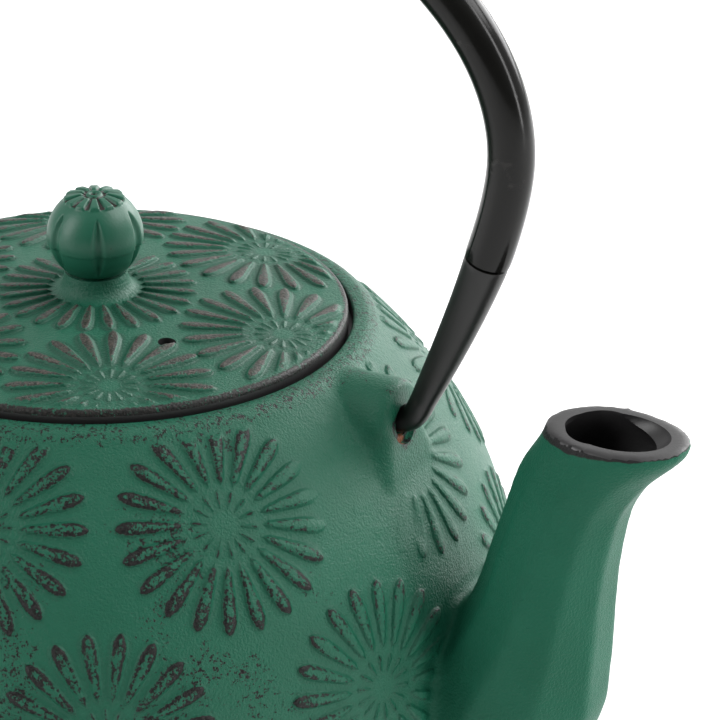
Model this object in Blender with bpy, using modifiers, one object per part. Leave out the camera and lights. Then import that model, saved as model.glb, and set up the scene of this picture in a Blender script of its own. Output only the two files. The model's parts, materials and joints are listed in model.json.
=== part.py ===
"""Cast-iron teapot with a lift-out infuser, a riveted knob and a folding bail handle.

Metres, +Z up. The origin is the centre of the base on the table, and the spout points along +X.
"""
import math

import bmesh
import bpy
import numpy as np
from mathutils import Matrix, Vector

# --- driving dimensions -------------------------------------------------------------------------
SEAT_GAP = 0.0003             # clearance between pieces that touch
RUN_GAP = 0.0006              # clearance round a pin, and round the lid and infuser in the mouth

RIM_HEIGHT = 0.108            # table to the plane of the mouth's edge
RIM_DROP = 0.0020             # how far that corner lies below the mouth's edge
BELLY_RADIUS = 0.080
BELLY_HEIGHT = 0.049
BASE_RADIUS = 0.050
BASE_EDGE = 0.0030            # height of the rounded edge round the base
POT_WALL = 0.0040

MOUTH_RADIUS = 0.0485         # recess that takes the lid
MOUTH_DEPTH = 0.0032
MOUTH_RING_WIDTH = 0.0049     # mouth's edge out to the outer corner of the thick ring round it
LID_LEDGE_WIDTH = 0.0037      # ledge the lid rests on, round the recess for the infuser's flange
FLANGE_LEDGE_WIDTH = 0.0033   # ledge the flange rests on, round the throat
FLANGE_SEAT_DEPTH = 0.0014
THROAT_LENGTH = 0.0050

LID_EDGE_GAP = 0.0009         # clearance round the lid in the mouth
LID_EDGE_RISE = 0.0018        # the lid's top edge above the mouth's edge
LID_DOME_RISE = 0.0056        # the lid's top beside the collar, above the mouth's edge
LID_WALL = 0.0040
LID_SKIRT_GAP = 0.0014        # clearance between the lid's skirt and the infuser
LID_SKIRT_WALL = 0.0020
LID_SKIRT_LENGTH = 0.0065
COLLAR_RADIUS = 0.0062
COLLAR_TOP = 0.0093           # above the mouth's edge
COLLAR_FLARE = 0.0026
VENT_RADIUS = 0.0017
VENT_REACH = 0.0265
VENT_ANGLE = math.radians(-31)

KNOB_RADIUS = 0.00915
KNOB_SEAT_RADIUS = 0.0060
ROSETTE_RADIUS = 0.0057
ROSETTE_RISE = 0.0006
RIVET_RADIUS = 0.0025
RIVET_GRIP = 0.0100           # length of the rivet inside the knob
RIVET_HEAD_RADIUS = 0.0042
RIVET_HEAD_HEIGHT = 0.0020
WASHER_RADIUS = 0.0058
WASHER_THICKNESS = 0.0010

EAR_RADIUS = 0.0077
EAR_STANDOUT = 0.0113         # ring's outer corner to the ear's outer face
EAR_DROP = 0.0083             # mouth's edge down to the handle's pivot axis
EAR_FOOT_DROP = 0.0120        # pivot axis down to where the ear's foot has run into the shoulder
EAR_EDGE = 0.0012
PIN_RADIUS = 0.0024
PIN_LENGTH = 0.0095           # engagement in the ear's blind hole

HANDLE_SPAN = 0.0863          # pot axis to the centre of the tube at its widest
HANDLE_SHOULDER = 0.0568      # pivot axis up to that widest place
HANDLE_CROWN = 0.0540         # widest place up to the top of the arch
LEG_EASE = 0.25               # how gently the legs bend, as a share of the shoulder's height
HANDLE_RADIUS = 0.0044
HANDLE_BORE = 0.0034
END_RADIUS = 0.00425          # handle end beside the tube
SPIGOT_LENGTH = 0.0140
SEAM_PLACE = 0.41             # share of the leg, from the widest place down, where the tube ends
HOOK_SETOUT = 0.0044          # ear's face out to where the leg turns in to the pin
HOOK_RISE = 0.0052            # pivot axis up to the same place
HOOK_RADIUS = 0.0025

INFUSER_DEPTH = 0.0580        # mouth's lower ledge to the bottom of the infuser
INFUSER_TAPER = 0.0073        # how far the wall's foot lies inside the throat's radius
MESH_THICKNESS = 0.0005
BAND_THICKNESS = 0.0007
RIM_COLLAR_LENGTH = 0.0055
FOOT_BAND_HEIGHT = 0.0050
FOOT_LIP = 0.0030

SPOUT_WALL = 0.0030
# Spout sections from the mouth down: share of the way up from the belly to the rim, how far the
# middle stands out from the belly, half depth along X, half width along Y.
SPOUT_SECTIONS = (
    (0.977, 0.0286, 0.0138, 0.0104),
    (0.930, 0.0275, 0.0136, 0.0106),
    (0.840, 0.0231, 0.0126, 0.0109),
    (0.760, 0.0205, 0.0117, 0.0112),
    (0.685, 0.0188, 0.0113, 0.0117),
    (0.540, 0.0165, 0.0117, 0.0129),
    (0.400, 0.0147, 0.0124, 0.0142),
    (0.255, 0.0121, 0.0145, 0.0153),
    (0.110, 0.0083, 0.0177, 0.0160),
    (-0.030, 0.0045, 0.0206, 0.0160),
    (-0.190, 0.0000, 0.0205, 0.0150),
    (-0.330, -0.0060, 0.0175, 0.0120),
    (-0.440, -0.0120, 0.0130, 0.0080),
)
MOUTH_TILT = -0.0005          # the lip's tip above the middle of the spout's mouth
BORE_OUTLET_SETBACK = 0.0010  # the bore is this much nearer the lip than the spout's middle
BORE_LAST_SECTION = 9         # the bore opens into the pot at this section

# --- derived places -----------------------------------------------------------------------------
RIM_RADIUS = MOUTH_RADIUS + MOUTH_RING_WIDTH
FLANGE_SEAT_RADIUS = MOUTH_RADIUS - LID_LEDGE_WIDTH
THROAT_RADIUS = FLANGE_SEAT_RADIUS - FLANGE_LEDGE_WIDTH
LID_RADIUS = MOUTH_RADIUS - LID_EDGE_GAP
INFUSER_RADIUS = THROAT_RADIUS - RUN_GAP
INFUSER_FOOT_RADIUS = THROAT_RADIUS - INFUSER_TAPER
LID_SKIRT_RADIUS = INFUSER_RADIUS - MESH_THICKNESS - SEAT_GAP - BAND_THICKNESS - LID_SKIRT_GAP
EAR_REACH = RIM_RADIUS + EAR_STANDOUT
PIVOT_HEIGHT = RIM_HEIGHT - EAR_DROP
LID_LEDGE = RIM_HEIGHT - MOUTH_DEPTH
FLANGE_LEDGE = LID_LEDGE - FLANGE_SEAT_DEPTH
LID_UNDERSIDE = LID_LEDGE + SEAT_GAP
COLLAR_HEIGHT = RIM_HEIGHT + COLLAR_TOP
LID_CEILING = RIM_HEIGHT + LID_DOME_RISE - LID_WALL
KNOB_BOTTOM = COLLAR_HEIGHT + SEAT_GAP
KNOB_CENTRE = KNOB_BOTTOM + math.sqrt(KNOB_RADIUS ** 2 - KNOB_SEAT_RADIUS ** 2)
WASHER_TOP = LID_CEILING - SEAT_GAP
RIVET_HEAD_TOP = WASHER_TOP - WASHER_THICKNESS - SEAT_GAP
PIN_HOLE_RADIUS = PIN_RADIUS + RUN_GAP
PIN_TIP = EAR_REACH - PIN_LENGTH
PIN_HOLE_END = PIN_TIP - RUN_GAP

TURN_STEPS = 48
SMALL_STEPS = 24


def clear_scene():
    for thing in list(bpy.data.objects):
        bpy.data.objects.remove(thing, do_unlink=True)


def new_collection(name):
    collection = bpy.data.collections.new(name)
    bpy.context.scene.collection.children.link(collection)
    return collection


clear_scene()
PARTS = new_collection("teapot")
CUTTERS = new_collection("cutters")


def material(name, colour, roughness, metallic):
    finish = bpy.data.materials.new(name)
    finish.use_nodes = True
    shader = finish.node_tree.nodes["Principled BSDF"]
    shader.inputs["Base Color"].default_value = (*colour, 1.0)
    shader.inputs["Roughness"].default_value = roughness
    shader.inputs["Metallic"].default_value = metallic
    return finish


GREEN_ENAMEL = material("green_enamel", (0.045, 0.145, 0.088), 0.55, 0.0)
BLACK_PAINT = material("black_paint", (0.012, 0.012, 0.012), 0.35, 0.0)
STEEL = material("stainless_steel", (0.62, 0.62, 0.60), 0.30, 1.0)
ZINC = material("zinc_plate", (0.50, 0.50, 0.48), 0.40, 1.0)


def place(thing, finish, collection=PARTS):
    collection.objects.link(thing)
    if finish is not None:
        thing.data.materials.append(finish)
    if collection is CUTTERS:
        thing.hide_render = True
        thing.display_type = 'WIRE'
    return thing


def smooth(thing):
    thing.data.shade_smooth()
    thing.data.set_sharp_from_angle(angle=math.radians(40))
    return thing


def bezier(start, start_handle, end_handle, end, count):
    """Points on a cubic curve, both ends included."""
    corners = [np.array(corner) for corner in (start, start_handle, end_handle, end)]
    points = []
    for t in np.linspace(0.0, 1.0, count):
        s = 1.0 - t
        weights = (s ** 3, 3 * s * s * t, 3 * s * t * t, t ** 3)
        points.append(tuple(sum(w * c for w, c in zip(weights, corners))))
    return points


def turned(name, profile, finish, collection=PARTS, steps=TURN_STEPS, ring=False):
    """A body of revolution about Z from (radius, height) points that run down the outer side."""
    mesh = bpy.data.meshes.new(name)
    edges = [(i, i + 1) for i in range(len(profile) - 1)]
    if ring:
        edges.append((len(profile) - 1, 0))
    mesh.from_pydata([(radius, 0.0, height) for radius, height in profile], edges, [])
    thing = place(bpy.data.objects.new(name, mesh), finish, collection)
    screw = thing.modifiers.new("turn", 'SCREW')
    screw.axis = 'Z'
    screw.steps = steps
    screw.render_steps = steps
    screw.use_merge_vertices = True
    screw.merge_threshold = 0.00001
    screw.use_smooth_shade = True
    return thing


def boolean(thing, tool, operation, solver='EXACT'):
    cut = thing.modifiers.new(operation.lower(), 'BOOLEAN')
    cut.operation = operation
    cut.solver = solver
    cut.object = tool


def cylinder(name, radius, start, end, collection=CUTTERS, sides=24):
    """A plain cylinder between two points."""
    start = Vector(start)
    end = Vector(end)
    bm = bmesh.new()
    bmesh.ops.create_cone(bm, cap_ends=True, segments=sides, radius1=radius, radius2=radius,
                          depth=(end - start).length)
    mesh = bpy.data.meshes.new(name)
    bm.to_mesh(mesh)
    bm.free()
    thing = place(bpy.data.objects.new(name, mesh), None, collection)
    turn = (end - start).to_track_quat('Z', 'Y').to_matrix().to_4x4()
    thing.matrix_world = Matrix.Translation((start + end) / 2) @ turn
    return thing


def rod(name, points, radii, finish, collection=PARTS, resolution=4):
    """A solid round rod along a curve, as a closed mesh. Its radius is given at each point."""
    curve = bpy.data.curves.new(name, 'CURVE')
    curve.dimensions = '3D'
    curve.bevel_depth = 1.0
    curve.bevel_resolution = resolution
    curve.use_fill_caps = True
    spline = curve.splines.new('POLY')
    spline.points.add(len(points) - 1)
    for knot, point, radius in zip(spline.points, points, radii):
        knot.co = (*point, 1.0)
        knot.radius = radius
    guide = bpy.data.objects.new(name + "_curve", curve)
    CUTTERS.objects.link(guide)
    evaluated = guide.evaluated_get(bpy.context.evaluated_depsgraph_get())
    mesh = bpy.data.meshes.new_from_object(evaluated)
    place_in_world = guide.matrix_world.copy()
    bpy.data.objects.remove(guide, do_unlink=True)
    bm = bmesh.new()
    bm.from_mesh(mesh)
    bmesh.ops.remove_doubles(bm, verts=bm.verts, dist=0.00001)
    bmesh.ops.recalc_face_normals(bm, faces=bm.faces)
    bm.to_mesh(mesh)
    bm.free()
    mesh.materials.clear()
    mesh.name = name
    thing = place(bpy.data.objects.new(name, mesh), finish, collection)
    thing.matrix_world = place_in_world
    return smooth(thing)


def loft(name, sections, finish, collection, sides=28):
    """A closed skin over ellipses given as (centre x, height, half depth, half width, tilt)."""
    bm = bmesh.new()
    rings = []
    for middle, height, depth, width, tilt in sections:
        ring = []
        for k in range(sides):
            angle = 2 * math.pi * k / sides
            along = math.cos(angle)
            ring.append(bm.verts.new((middle + depth * along, width * math.sin(angle),
                                      height + tilt * along)))
        rings.append(ring)
    for upper, lower in zip(rings, rings[1:]):
        for k in range(sides):
            after = (k + 1) % sides
            bm.faces.new((upper[k], upper[after], lower[after], lower[k]))
    bm.faces.new(rings[0])
    bm.faces.new(reversed(rings[-1]))
    bmesh.ops.recalc_face_normals(bm, faces=bm.faces)
    mesh = bpy.data.meshes.new(name)
    bm.to_mesh(mesh)
    bm.free()
    return place(bpy.data.objects.new(name, mesh), finish, collection)


# --- the pot: belly, spout and two ears in one casting ------------------------------------------
def outer_profile():
    """The casting's outside, from the rim's corner over the belly to the edge of the base."""
    rim = (RIM_RADIUS, RIM_HEIGHT - RIM_DROP)
    fall = 0.6 * (BELLY_RADIUS - RIM_RADIUS) * math.sin(math.radians(45))
    ease = 0.49 * (RIM_HEIGHT - BELLY_HEIGHT - RIM_DROP)
    shoulder = bezier(rim, (rim[0] + fall, rim[1] - fall), (BELLY_RADIUS, BELLY_HEIGHT + ease),
                      (BELLY_RADIUS, BELLY_HEIGHT), 11)
    edge = (BASE_RADIUS + BASE_EDGE, BASE_EDGE)
    run = (BELLY_RADIUS - edge[0]) * 0.55
    drop = (BELLY_HEIGHT - edge[1]) * 0.52
    foot = bezier((BELLY_RADIUS, BELLY_HEIGHT), (BELLY_RADIUS, BELLY_HEIGHT - drop),
                  (edge[0] + run, edge[1] + 0.45 * run), edge, 9)
    corner = bezier(edge, (BASE_RADIUS + 0.5 * BASE_EDGE, 0.4 * BASE_EDGE),
                    (BASE_RADIUS + 0.2 * BASE_EDGE, 0.0), (BASE_RADIUS, 0.0), 4)
    return shoulder + foot[1:] + corner[1:]


def inset(profile, distance):
    """The same outline moved square to itself, towards the inside."""
    moved = []
    for before, point, after in zip([profile[0]] + profile, profile, profile[1:] + [profile[-1]]):
        run = np.subtract(after, before)
        normal = np.array((run[1], -run[0])) / np.hypot(*run)
        moved.append(tuple(np.array(point) + normal * distance))
    return moved


def cavity_profile():
    """The inside of the casting and its mouth, from above the rim to the floor on the axis."""
    outer = outer_profile()
    throat_end = FLANGE_LEDGE - THROAT_LENGTH
    inner = [point for point in inset(outer, POT_WALL)
             if POT_WALL * 1.3 < point[1] < throat_end - POT_WALL]
    floor = inner[-1][0] - POT_WALL
    return [(0.0, RIM_HEIGHT + POT_WALL), (MOUTH_RADIUS, RIM_HEIGHT + POT_WALL),
            (MOUTH_RADIUS, LID_LEDGE), (FLANGE_SEAT_RADIUS, LID_LEDGE),
            (FLANGE_SEAT_RADIUS, FLANGE_LEDGE), (THROAT_RADIUS, FLANGE_LEDGE),
            (THROAT_RADIUS, throat_end)] + inner + [(floor, POT_WALL), (0.0, POT_WALL)]


def spout_rings(wall, last):
    """Spout sections thinned by a wall. The outlet's section keeps the tilt of the lip."""
    rings = []
    for k, (share, reach, depth, width) in enumerate(SPOUT_SECTIONS[:last]):
        height = BELLY_HEIGHT + share * (RIM_HEIGHT - BELLY_HEIGHT)
        tilt = MOUTH_TILT * max(0.0, 1.0 - k / 3)
        middle = BELLY_RADIUS + reach
        rings.append((middle, height, depth - wall, width - wall, tilt))
    return rings


def bore_rings():
    rings = spout_rings(SPOUT_WALL, BORE_LAST_SECTION + 1)
    middle, height, depth, width, tilt = rings[0]
    outlet = (middle + BORE_OUTLET_SETBACK, height, depth + BORE_OUTLET_SETBACK / 2, width, tilt)
    above = (middle + BORE_OUTLET_SETBACK, height + SPOUT_WALL, depth + SPOUT_WALL / 2,
             width + SPOUT_WALL / 2, tilt)
    inlet = rings[-1]
    end = (inlet[0] - inlet[2], inlet[1] - SPOUT_WALL, inlet[2] / 2, inlet[3] / 2, 0.0)
    return [above, outlet] + rings[1:] + [end]


def ear(side):
    """A round-topped lug that runs out of the shoulder along X, its foot buried in the casting."""
    root = RIM_RADIUS - 0.4 * (RIM_RADIUS - MOUTH_RADIUS)
    lug = cylinder("ear_round", EAR_RADIUS, (side * root, 0.0, PIVOT_HEIGHT),
                   (side * EAR_REACH, 0.0, PIVOT_HEIGHT), sides=32)
    foot_low = PIVOT_HEIGHT - EAR_FOOT_DROP
    size = (EAR_REACH - root, 2 * EAR_RADIUS, EAR_FOOT_DROP)
    centre = (side * (root + EAR_REACH) / 2, 0.0, (foot_low + PIVOT_HEIGHT) / 2)
    bpy.ops.mesh.primitive_cube_add(size=1.0)
    foot = bpy.context.object
    foot.name = "ear_foot"
    for collection in list(foot.users_collection):
        collection.objects.unlink(foot)
    place(foot, None, CUTTERS)
    foot.data.transform(Matrix.Translation(centre) @ Matrix.Diagonal((*size, 1.0)))
    boolean(foot, lug, 'UNION')
    edge = foot.modifiers.new("edge", 'BEVEL')
    edge.width = EAR_EDGE
    edge.segments = 2
    edge.limit_method = 'ANGLE'
    edge.angle_limit = math.radians(60)
    return foot


def pin_hole(side):
    return cylinder("pin_hole", PIN_HOLE_RADIUS, (side * PIN_HOLE_END, 0.0, PIVOT_HEIGHT),
                    (side * (EAR_REACH + POT_WALL), 0.0, PIVOT_HEIGHT))


def make_pot():
    outline = [(0.0, RIM_HEIGHT), (MOUTH_RADIUS, RIM_HEIGHT)] + outer_profile() + [(0.0, 0.0)]
    pot = turned("pot_body", outline, GREEN_ENAMEL)
    for side in (1, -1):
        boolean(pot, ear(side), 'UNION', 'MANIFOLD')
    spout = loft("spout_outside", spout_rings(0.0, len(SPOUT_SECTIONS)), None, CUTTERS)
    boolean(pot, spout, 'UNION', 'MANIFOLD')
    boolean(pot, turned("pot_cavity", cavity_profile(), None, CUTTERS), 'DIFFERENCE', 'MANIFOLD')
    boolean(pot, loft("spout_bore", bore_rings(), None, CUTTERS), 'DIFFERENCE', 'MANIFOLD')
    for side in (1, -1):
        boolean(pot, pin_hole(side), 'DIFFERENCE', 'MANIFOLD')
    return pot


# --- the lid with its cast collar ---------------------------------------------------------------
def dome_top(radius):
    """Height of the lid's top at a radius: a shallow arch from the collar's foot to the edge."""
    share = radius / LID_RADIUS
    return RIM_HEIGHT + LID_EDGE_RISE + (LID_DOME_RISE - LID_EDGE_RISE) * (1.0 - share ** 2)


def make_lid():
    flare = COLLAR_RADIUS + COLLAR_FLARE
    collar = bezier((COLLAR_RADIUS, COLLAR_HEIGHT), (COLLAR_RADIUS, dome_top(flare) + 0.001),
                    (COLLAR_RADIUS + 0.0006, dome_top(flare) + 0.0002), (flare, dome_top(flare)), 5)
    dome = [(radius, dome_top(radius)) for radius in np.linspace(flare, LID_RADIUS - 0.0008, 7)]
    edge = [(LID_RADIUS, RIM_HEIGHT + LID_EDGE_RISE - 0.0006), (LID_RADIUS, LID_UNDERSIDE)]
    skirt_in = LID_SKIRT_RADIUS - LID_SKIRT_WALL
    skirt_end = LID_UNDERSIDE - LID_SKIRT_LENGTH
    under = [(LID_SKIRT_RADIUS, LID_UNDERSIDE), (LID_SKIRT_RADIUS, skirt_end),
             (skirt_in, skirt_end), (skirt_in, dome_top(skirt_in) - LID_WALL)]
    ceiling = [(WASHER_RADIUS + LID_WALL, LID_CEILING), (RIVET_RADIUS + SEAT_GAP, LID_CEILING)]
    bore = [(RIVET_RADIUS + SEAT_GAP, COLLAR_HEIGHT)]
    profile = collar + dome[1:] + edge + under + ceiling + bore
    lid = turned("lid", profile, GREEN_ENAMEL, ring=True)
    x = VENT_REACH * math.cos(VENT_ANGLE)
    y = VENT_REACH * math.sin(VENT_ANGLE)
    vent = cylinder("vent_cutter", VENT_RADIUS, (x, y, LID_LEDGE), (x, y, COLLAR_HEIGHT), sides=16)
    boolean(lid, vent, 'DIFFERENCE')
    return lid


# --- the knob, its rivet and washer -------------------------------------------------------------
def make_knob():
    cap_height = KNOB_CENTRE + math.sqrt(KNOB_RADIUS ** 2 - ROSETTE_RADIUS ** 2)
    cap = [(0.0, cap_height + ROSETTE_RISE * 1.4), (ROSETTE_RADIUS * 0.6, cap_height + ROSETTE_RISE),
           (ROSETTE_RADIUS, cap_height + ROSETTE_RISE * 0.3)]
    high = math.atan2(cap_height - KNOB_CENTRE, ROSETTE_RADIUS)
    low = -math.atan2(KNOB_CENTRE - KNOB_BOTTOM, KNOB_SEAT_RADIUS)
    ball = [(KNOB_RADIUS * math.cos(angle), KNOB_CENTRE + KNOB_RADIUS * math.sin(angle))
            for angle in np.linspace(high, low, 12)]
    hole = RIVET_RADIUS + SEAT_GAP
    bore_top = KNOB_BOTTOM + RIVET_GRIP + SEAT_GAP
    knob = turned("lid_knob", cap + ball + [(hole, KNOB_BOTTOM), (hole, bore_top), (0.0, bore_top)],
                  GREEN_ENAMEL, steps=SMALL_STEPS)
    shank_top = KNOB_BOTTOM + RIVET_GRIP
    rivet = [(0.0, shank_top), (RIVET_RADIUS, shank_top), (RIVET_RADIUS, RIVET_HEAD_TOP),
             (RIVET_HEAD_RADIUS, RIVET_HEAD_TOP)]
    for angle in np.linspace(0.0, math.pi / 2, 5)[1:]:
        rivet.append((RIVET_HEAD_RADIUS * math.cos(angle),
                      RIVET_HEAD_TOP - RIVET_HEAD_HEIGHT * math.sin(angle)))
    rivet[-1] = (0.0, RIVET_HEAD_TOP - RIVET_HEAD_HEIGHT)
    turned("knob_rivet", rivet, ZINC, steps=SMALL_STEPS)
    washer_low = WASHER_TOP - WASHER_THICKNESS
    washer = [(WASHER_RADIUS, WASHER_TOP), (WASHER_RADIUS, washer_low), (hole, washer_low),
              (hole, WASHER_TOP)]
    turned("knob_washer", washer, ZINC, steps=SMALL_STEPS, ring=True)
    return knob


# --- the bail handle ----------------------------------------------------------------------------
def crown_points(count):
    """The arch above the widest place: half an ellipse in the XZ plane, from front to rear."""
    middle = PIVOT_HEIGHT + HANDLE_SHOULDER
    points = []
    for angle in np.linspace(0.0, math.pi, count):
        points.append((HANDLE_SPAN * math.cos(angle), middle + HANDLE_CROWN * math.sin(angle)))
    return points


def leg_points(count):
    """The front leg from the widest place down to where it turns in to the pin."""
    top = (HANDLE_SPAN, PIVOT_HEIGHT + HANDLE_SHOULDER)
    turn = (EAR_REACH + HOOK_SETOUT, PIVOT_HEIGHT + HOOK_RISE)
    lean = np.array((0.42, 0.907)) * LEG_EASE * HANDLE_SHOULDER
    return bezier(top, (top[0], top[1] - LEG_EASE * HANDLE_SHOULDER),
                  (turn[0] + lean[0], turn[1] + lean[1]), turn, count)


def split_leg():
    """The leg's points above and below the seam, which both share the seam's own point."""
    points = leg_points(33)
    seam = round(SEAM_PLACE * (len(points) - 1))
    return points[:seam + 1], points[seam:]


def in_space(points, side=1):
    return [(side * x, 0.0, z) for x, z in points]


def shifted(start, towards, distance):
    run = np.subtract(towards, start)
    return tuple(np.array(start) + run * distance / np.hypot(*run))


def make_handle_tube():
    upper, lower = split_leg()
    leg = upper[::-1][::2]
    arch = leg[:-1] + crown_points(31) + [(-x, z) for x, z in leg[:-1][::-1]]
    tube = rod("handle_tube", in_space(arch), [HANDLE_RADIUS] * len(arch), BLACK_PAINT)
    overrun = shifted(arch[0], arch[1], -HANDLE_RADIUS)
    longer = [overrun] + arch + [(-overrun[0], overrun[1])]
    boolean(tube, rod("handle_bore", in_space(longer), [HANDLE_BORE] * len(longer), None, CUTTERS),
            'DIFFERENCE')
    return tube


def make_handle_end(name, side):
    """A cast end: a spigot in the tube, a tapered leg, and a pin turned in to the ear's hole."""
    upper, lower = split_leg()
    spigot = [lower[0]]
    length = 0.0
    for point in upper[::-1][1:]:
        length += math.dist(point, spigot[-1])
        if length > SPIGOT_LENGTH:
            break
        spigot.append(point)
    shoulder = shifted(lower[0], lower[1], SEAT_GAP)
    shoulder_start = shifted(lower[0], lower[1], SEAT_GAP * 0.9)
    spigot_radius = HANDLE_BORE - SEAT_GAP
    taper = lower[2::2]
    turn = lower[-1]
    pin_start = (EAR_REACH - 0.2 * PIN_LENGTH, PIVOT_HEIGHT)
    hook = bezier(turn, (turn[0] - 0.42 * HOOK_RISE * 0.6, turn[1] - 0.907 * HOOK_RISE * 0.6),
                  (EAR_REACH + 0.55 * HOOK_SETOUT, PIVOT_HEIGHT), pin_start, 8)
    pin = [(PIN_TIP + 0.0006, PIVOT_HEIGHT), (PIN_TIP, PIVOT_HEIGHT)]
    body = taper[:-1] + hook
    points = spigot[::-1][:-1] + [shoulder_start, shoulder] + body + pin
    radii = [spigot_radius] * (len(spigot) - 1) + [spigot_radius, END_RADIUS]
    for k in range(len(taper) - 1):
        share = (k + 1) / len(taper)
        radii.append(END_RADIUS + (HOOK_RADIUS - END_RADIUS) * share)
    radii += [HOOK_RADIUS + (PIN_RADIUS - HOOK_RADIUS) * k / 7 for k in range(8)]
    radii += [PIN_RADIUS, PIN_RADIUS * 0.75]
    return rod(name, in_space(points, side), radii, BLACK_PAINT)


# --- the infuser basket -------------------------------------------------------------------------
def make_infuser():
    flange_low = FLANGE_LEDGE + SEAT_GAP
    flange_top = LID_UNDERSIDE - SEAT_GAP - 0.0001
    flange_out = FLANGE_SEAT_RADIUS - RUN_GAP
    wall_out = INFUSER_RADIUS
    wall_in = wall_out - MESH_THICKNESS
    collar_out = wall_in - SEAT_GAP
    collar_in = collar_out - BAND_THICKNESS
    collar_low = flange_low - RIM_COLLAR_LENGTH
    turned("infuser_rim", [(flange_out, flange_top), (flange_out, flange_low),
                           (collar_out, flange_low), (collar_out, collar_low),
                           (collar_in, collar_low), (collar_in, flange_top)], STEEL, ring=True)
    foot = FLANGE_LEDGE - INFUSER_DEPTH
    wall_low = foot + BAND_THICKNESS + SEAT_GAP
    wall_top = flange_low - SEAT_GAP
    straight = collar_low
    foot_in = INFUSER_FOOT_RADIUS - MESH_THICKNESS
    foot_top = foot + FOOT_BAND_HEIGHT
    turned("infuser_wall", [(wall_out, wall_top), (wall_out, straight),
                            (INFUSER_FOOT_RADIUS, foot_top + SEAT_GAP), (INFUSER_FOOT_RADIUS, wall_low),
                            (foot_in, wall_low), (foot_in, foot_top + SEAT_GAP),
                            (wall_in, straight), (wall_in, wall_top)], STEEL, ring=True)
    band_in = INFUSER_FOOT_RADIUS + SEAT_GAP
    band_out = band_in + BAND_THICKNESS
    lip_in = foot_in - FOOT_LIP
    turned("infuser_floor_ring", [(band_out, foot_top), (band_out, foot), (lip_in, foot),
                                  (lip_in, foot + BAND_THICKNESS), (band_in, foot + BAND_THICKNESS),
                                  (band_in, foot_top)], STEEL, ring=True)
    disc = foot_in - SEAT_GAP
    turned("infuser_floor", [(0.0, wall_low + MESH_THICKNESS), (disc, wall_low + MESH_THICKNESS),
                             (disc, wall_low), (0.0, wall_low)], STEEL)


make_pot()
make_lid()
make_knob()
make_handle_tube()
make_handle_end("handle_end_front", 1)
make_handle_end("handle_end_rear", -1)
make_infuser()
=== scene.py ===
import json
import math

import bmesh
import bpy
import numpy as np
from mathutils import Matrix, Vector


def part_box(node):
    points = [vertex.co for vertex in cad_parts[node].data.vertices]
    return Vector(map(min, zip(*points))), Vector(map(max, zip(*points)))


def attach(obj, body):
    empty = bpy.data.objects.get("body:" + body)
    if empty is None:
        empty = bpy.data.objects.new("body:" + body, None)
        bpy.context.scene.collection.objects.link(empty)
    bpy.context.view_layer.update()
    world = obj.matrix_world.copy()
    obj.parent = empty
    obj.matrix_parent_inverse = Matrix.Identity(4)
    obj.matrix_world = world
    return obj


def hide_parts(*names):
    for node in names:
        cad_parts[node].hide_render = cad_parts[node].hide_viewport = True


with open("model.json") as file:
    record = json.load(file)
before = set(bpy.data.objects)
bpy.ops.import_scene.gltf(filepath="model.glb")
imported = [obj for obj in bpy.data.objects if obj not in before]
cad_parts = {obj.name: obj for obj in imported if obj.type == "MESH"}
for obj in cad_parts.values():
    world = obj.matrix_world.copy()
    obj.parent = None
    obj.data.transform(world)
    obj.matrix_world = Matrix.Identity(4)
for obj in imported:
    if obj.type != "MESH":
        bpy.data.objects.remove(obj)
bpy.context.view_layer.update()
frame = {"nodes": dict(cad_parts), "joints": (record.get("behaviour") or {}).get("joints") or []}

# The finish of a cast-iron teapot: green enamel over flower relief that is rubbed through to the iron,
# a black painted bail, and a woven steel basket inside. Metres, +Z up, the spout along +X.

# --- places taken from the frame ------------------------------------------------------------------
POT_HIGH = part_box("pot_body")[1]
LID_LOW, LID_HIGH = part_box("lid")
KNOB_LOW, KNOB_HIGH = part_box("lid_knob")
RIM_Z = POT_HIGH.z
BELLY_R = POT_HIGH.y
LID_R = LID_HIGH.x
COLLAR_Z = LID_HIGH.z
PIVOT_Z = next(joint for joint in frame["joints"] if joint["name"] == "handle_fold")["pos_m"][2]

# --- sizes of the casting that the frame's boxes don't give --------------------------------------
RIM_R = 0.0534
RIM_DROP = 0.0020
MOUTH_R = 0.0485
MOUTH_DEPTH = 0.0032
FLANGE_SEAT_R = 0.0448
FLANGE_SEAT_DEPTH = 0.0014
THROAT_R = 0.0415
THROAT_LENGTH = 0.0050
BELLY_Z = 0.049
BASE_R = 0.050
BASE_EDGE = 0.0030
WALL = 0.0040
EAR_R = 0.0077
EAR_REACH = 0.0647
EAR_FOOT = 0.0150             # height of the block under the ear, down to where the shoulder hides it
EAR_FOOT_ROOT = 0.0480
EAR_FOOT_TOP = 0.0066         # half width at the ear, and lower down
EAR_FOOT_LOW = 0.0116
EAR_FOOT_LEAN = 0.0036
PIN_HOLE_R = 0.0030
PIN_HOLE_END = 0.0546
EAR_FACE_R = 0.0044           # flat spot faced round the pin hole, which the hook turns on
EAR_FACE_RISE = 0.0001        # the flat spot's floor above the ear's outer face
LUG_EDGE = 0.0014
FOOT_EDGE = 0.0022
SKIN_VOXEL = 0.00092          # grid that joins body, spout and ears into one skin
SKIN_SHARE = 0.68             # share of that skin's faces that the relief needs

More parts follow.
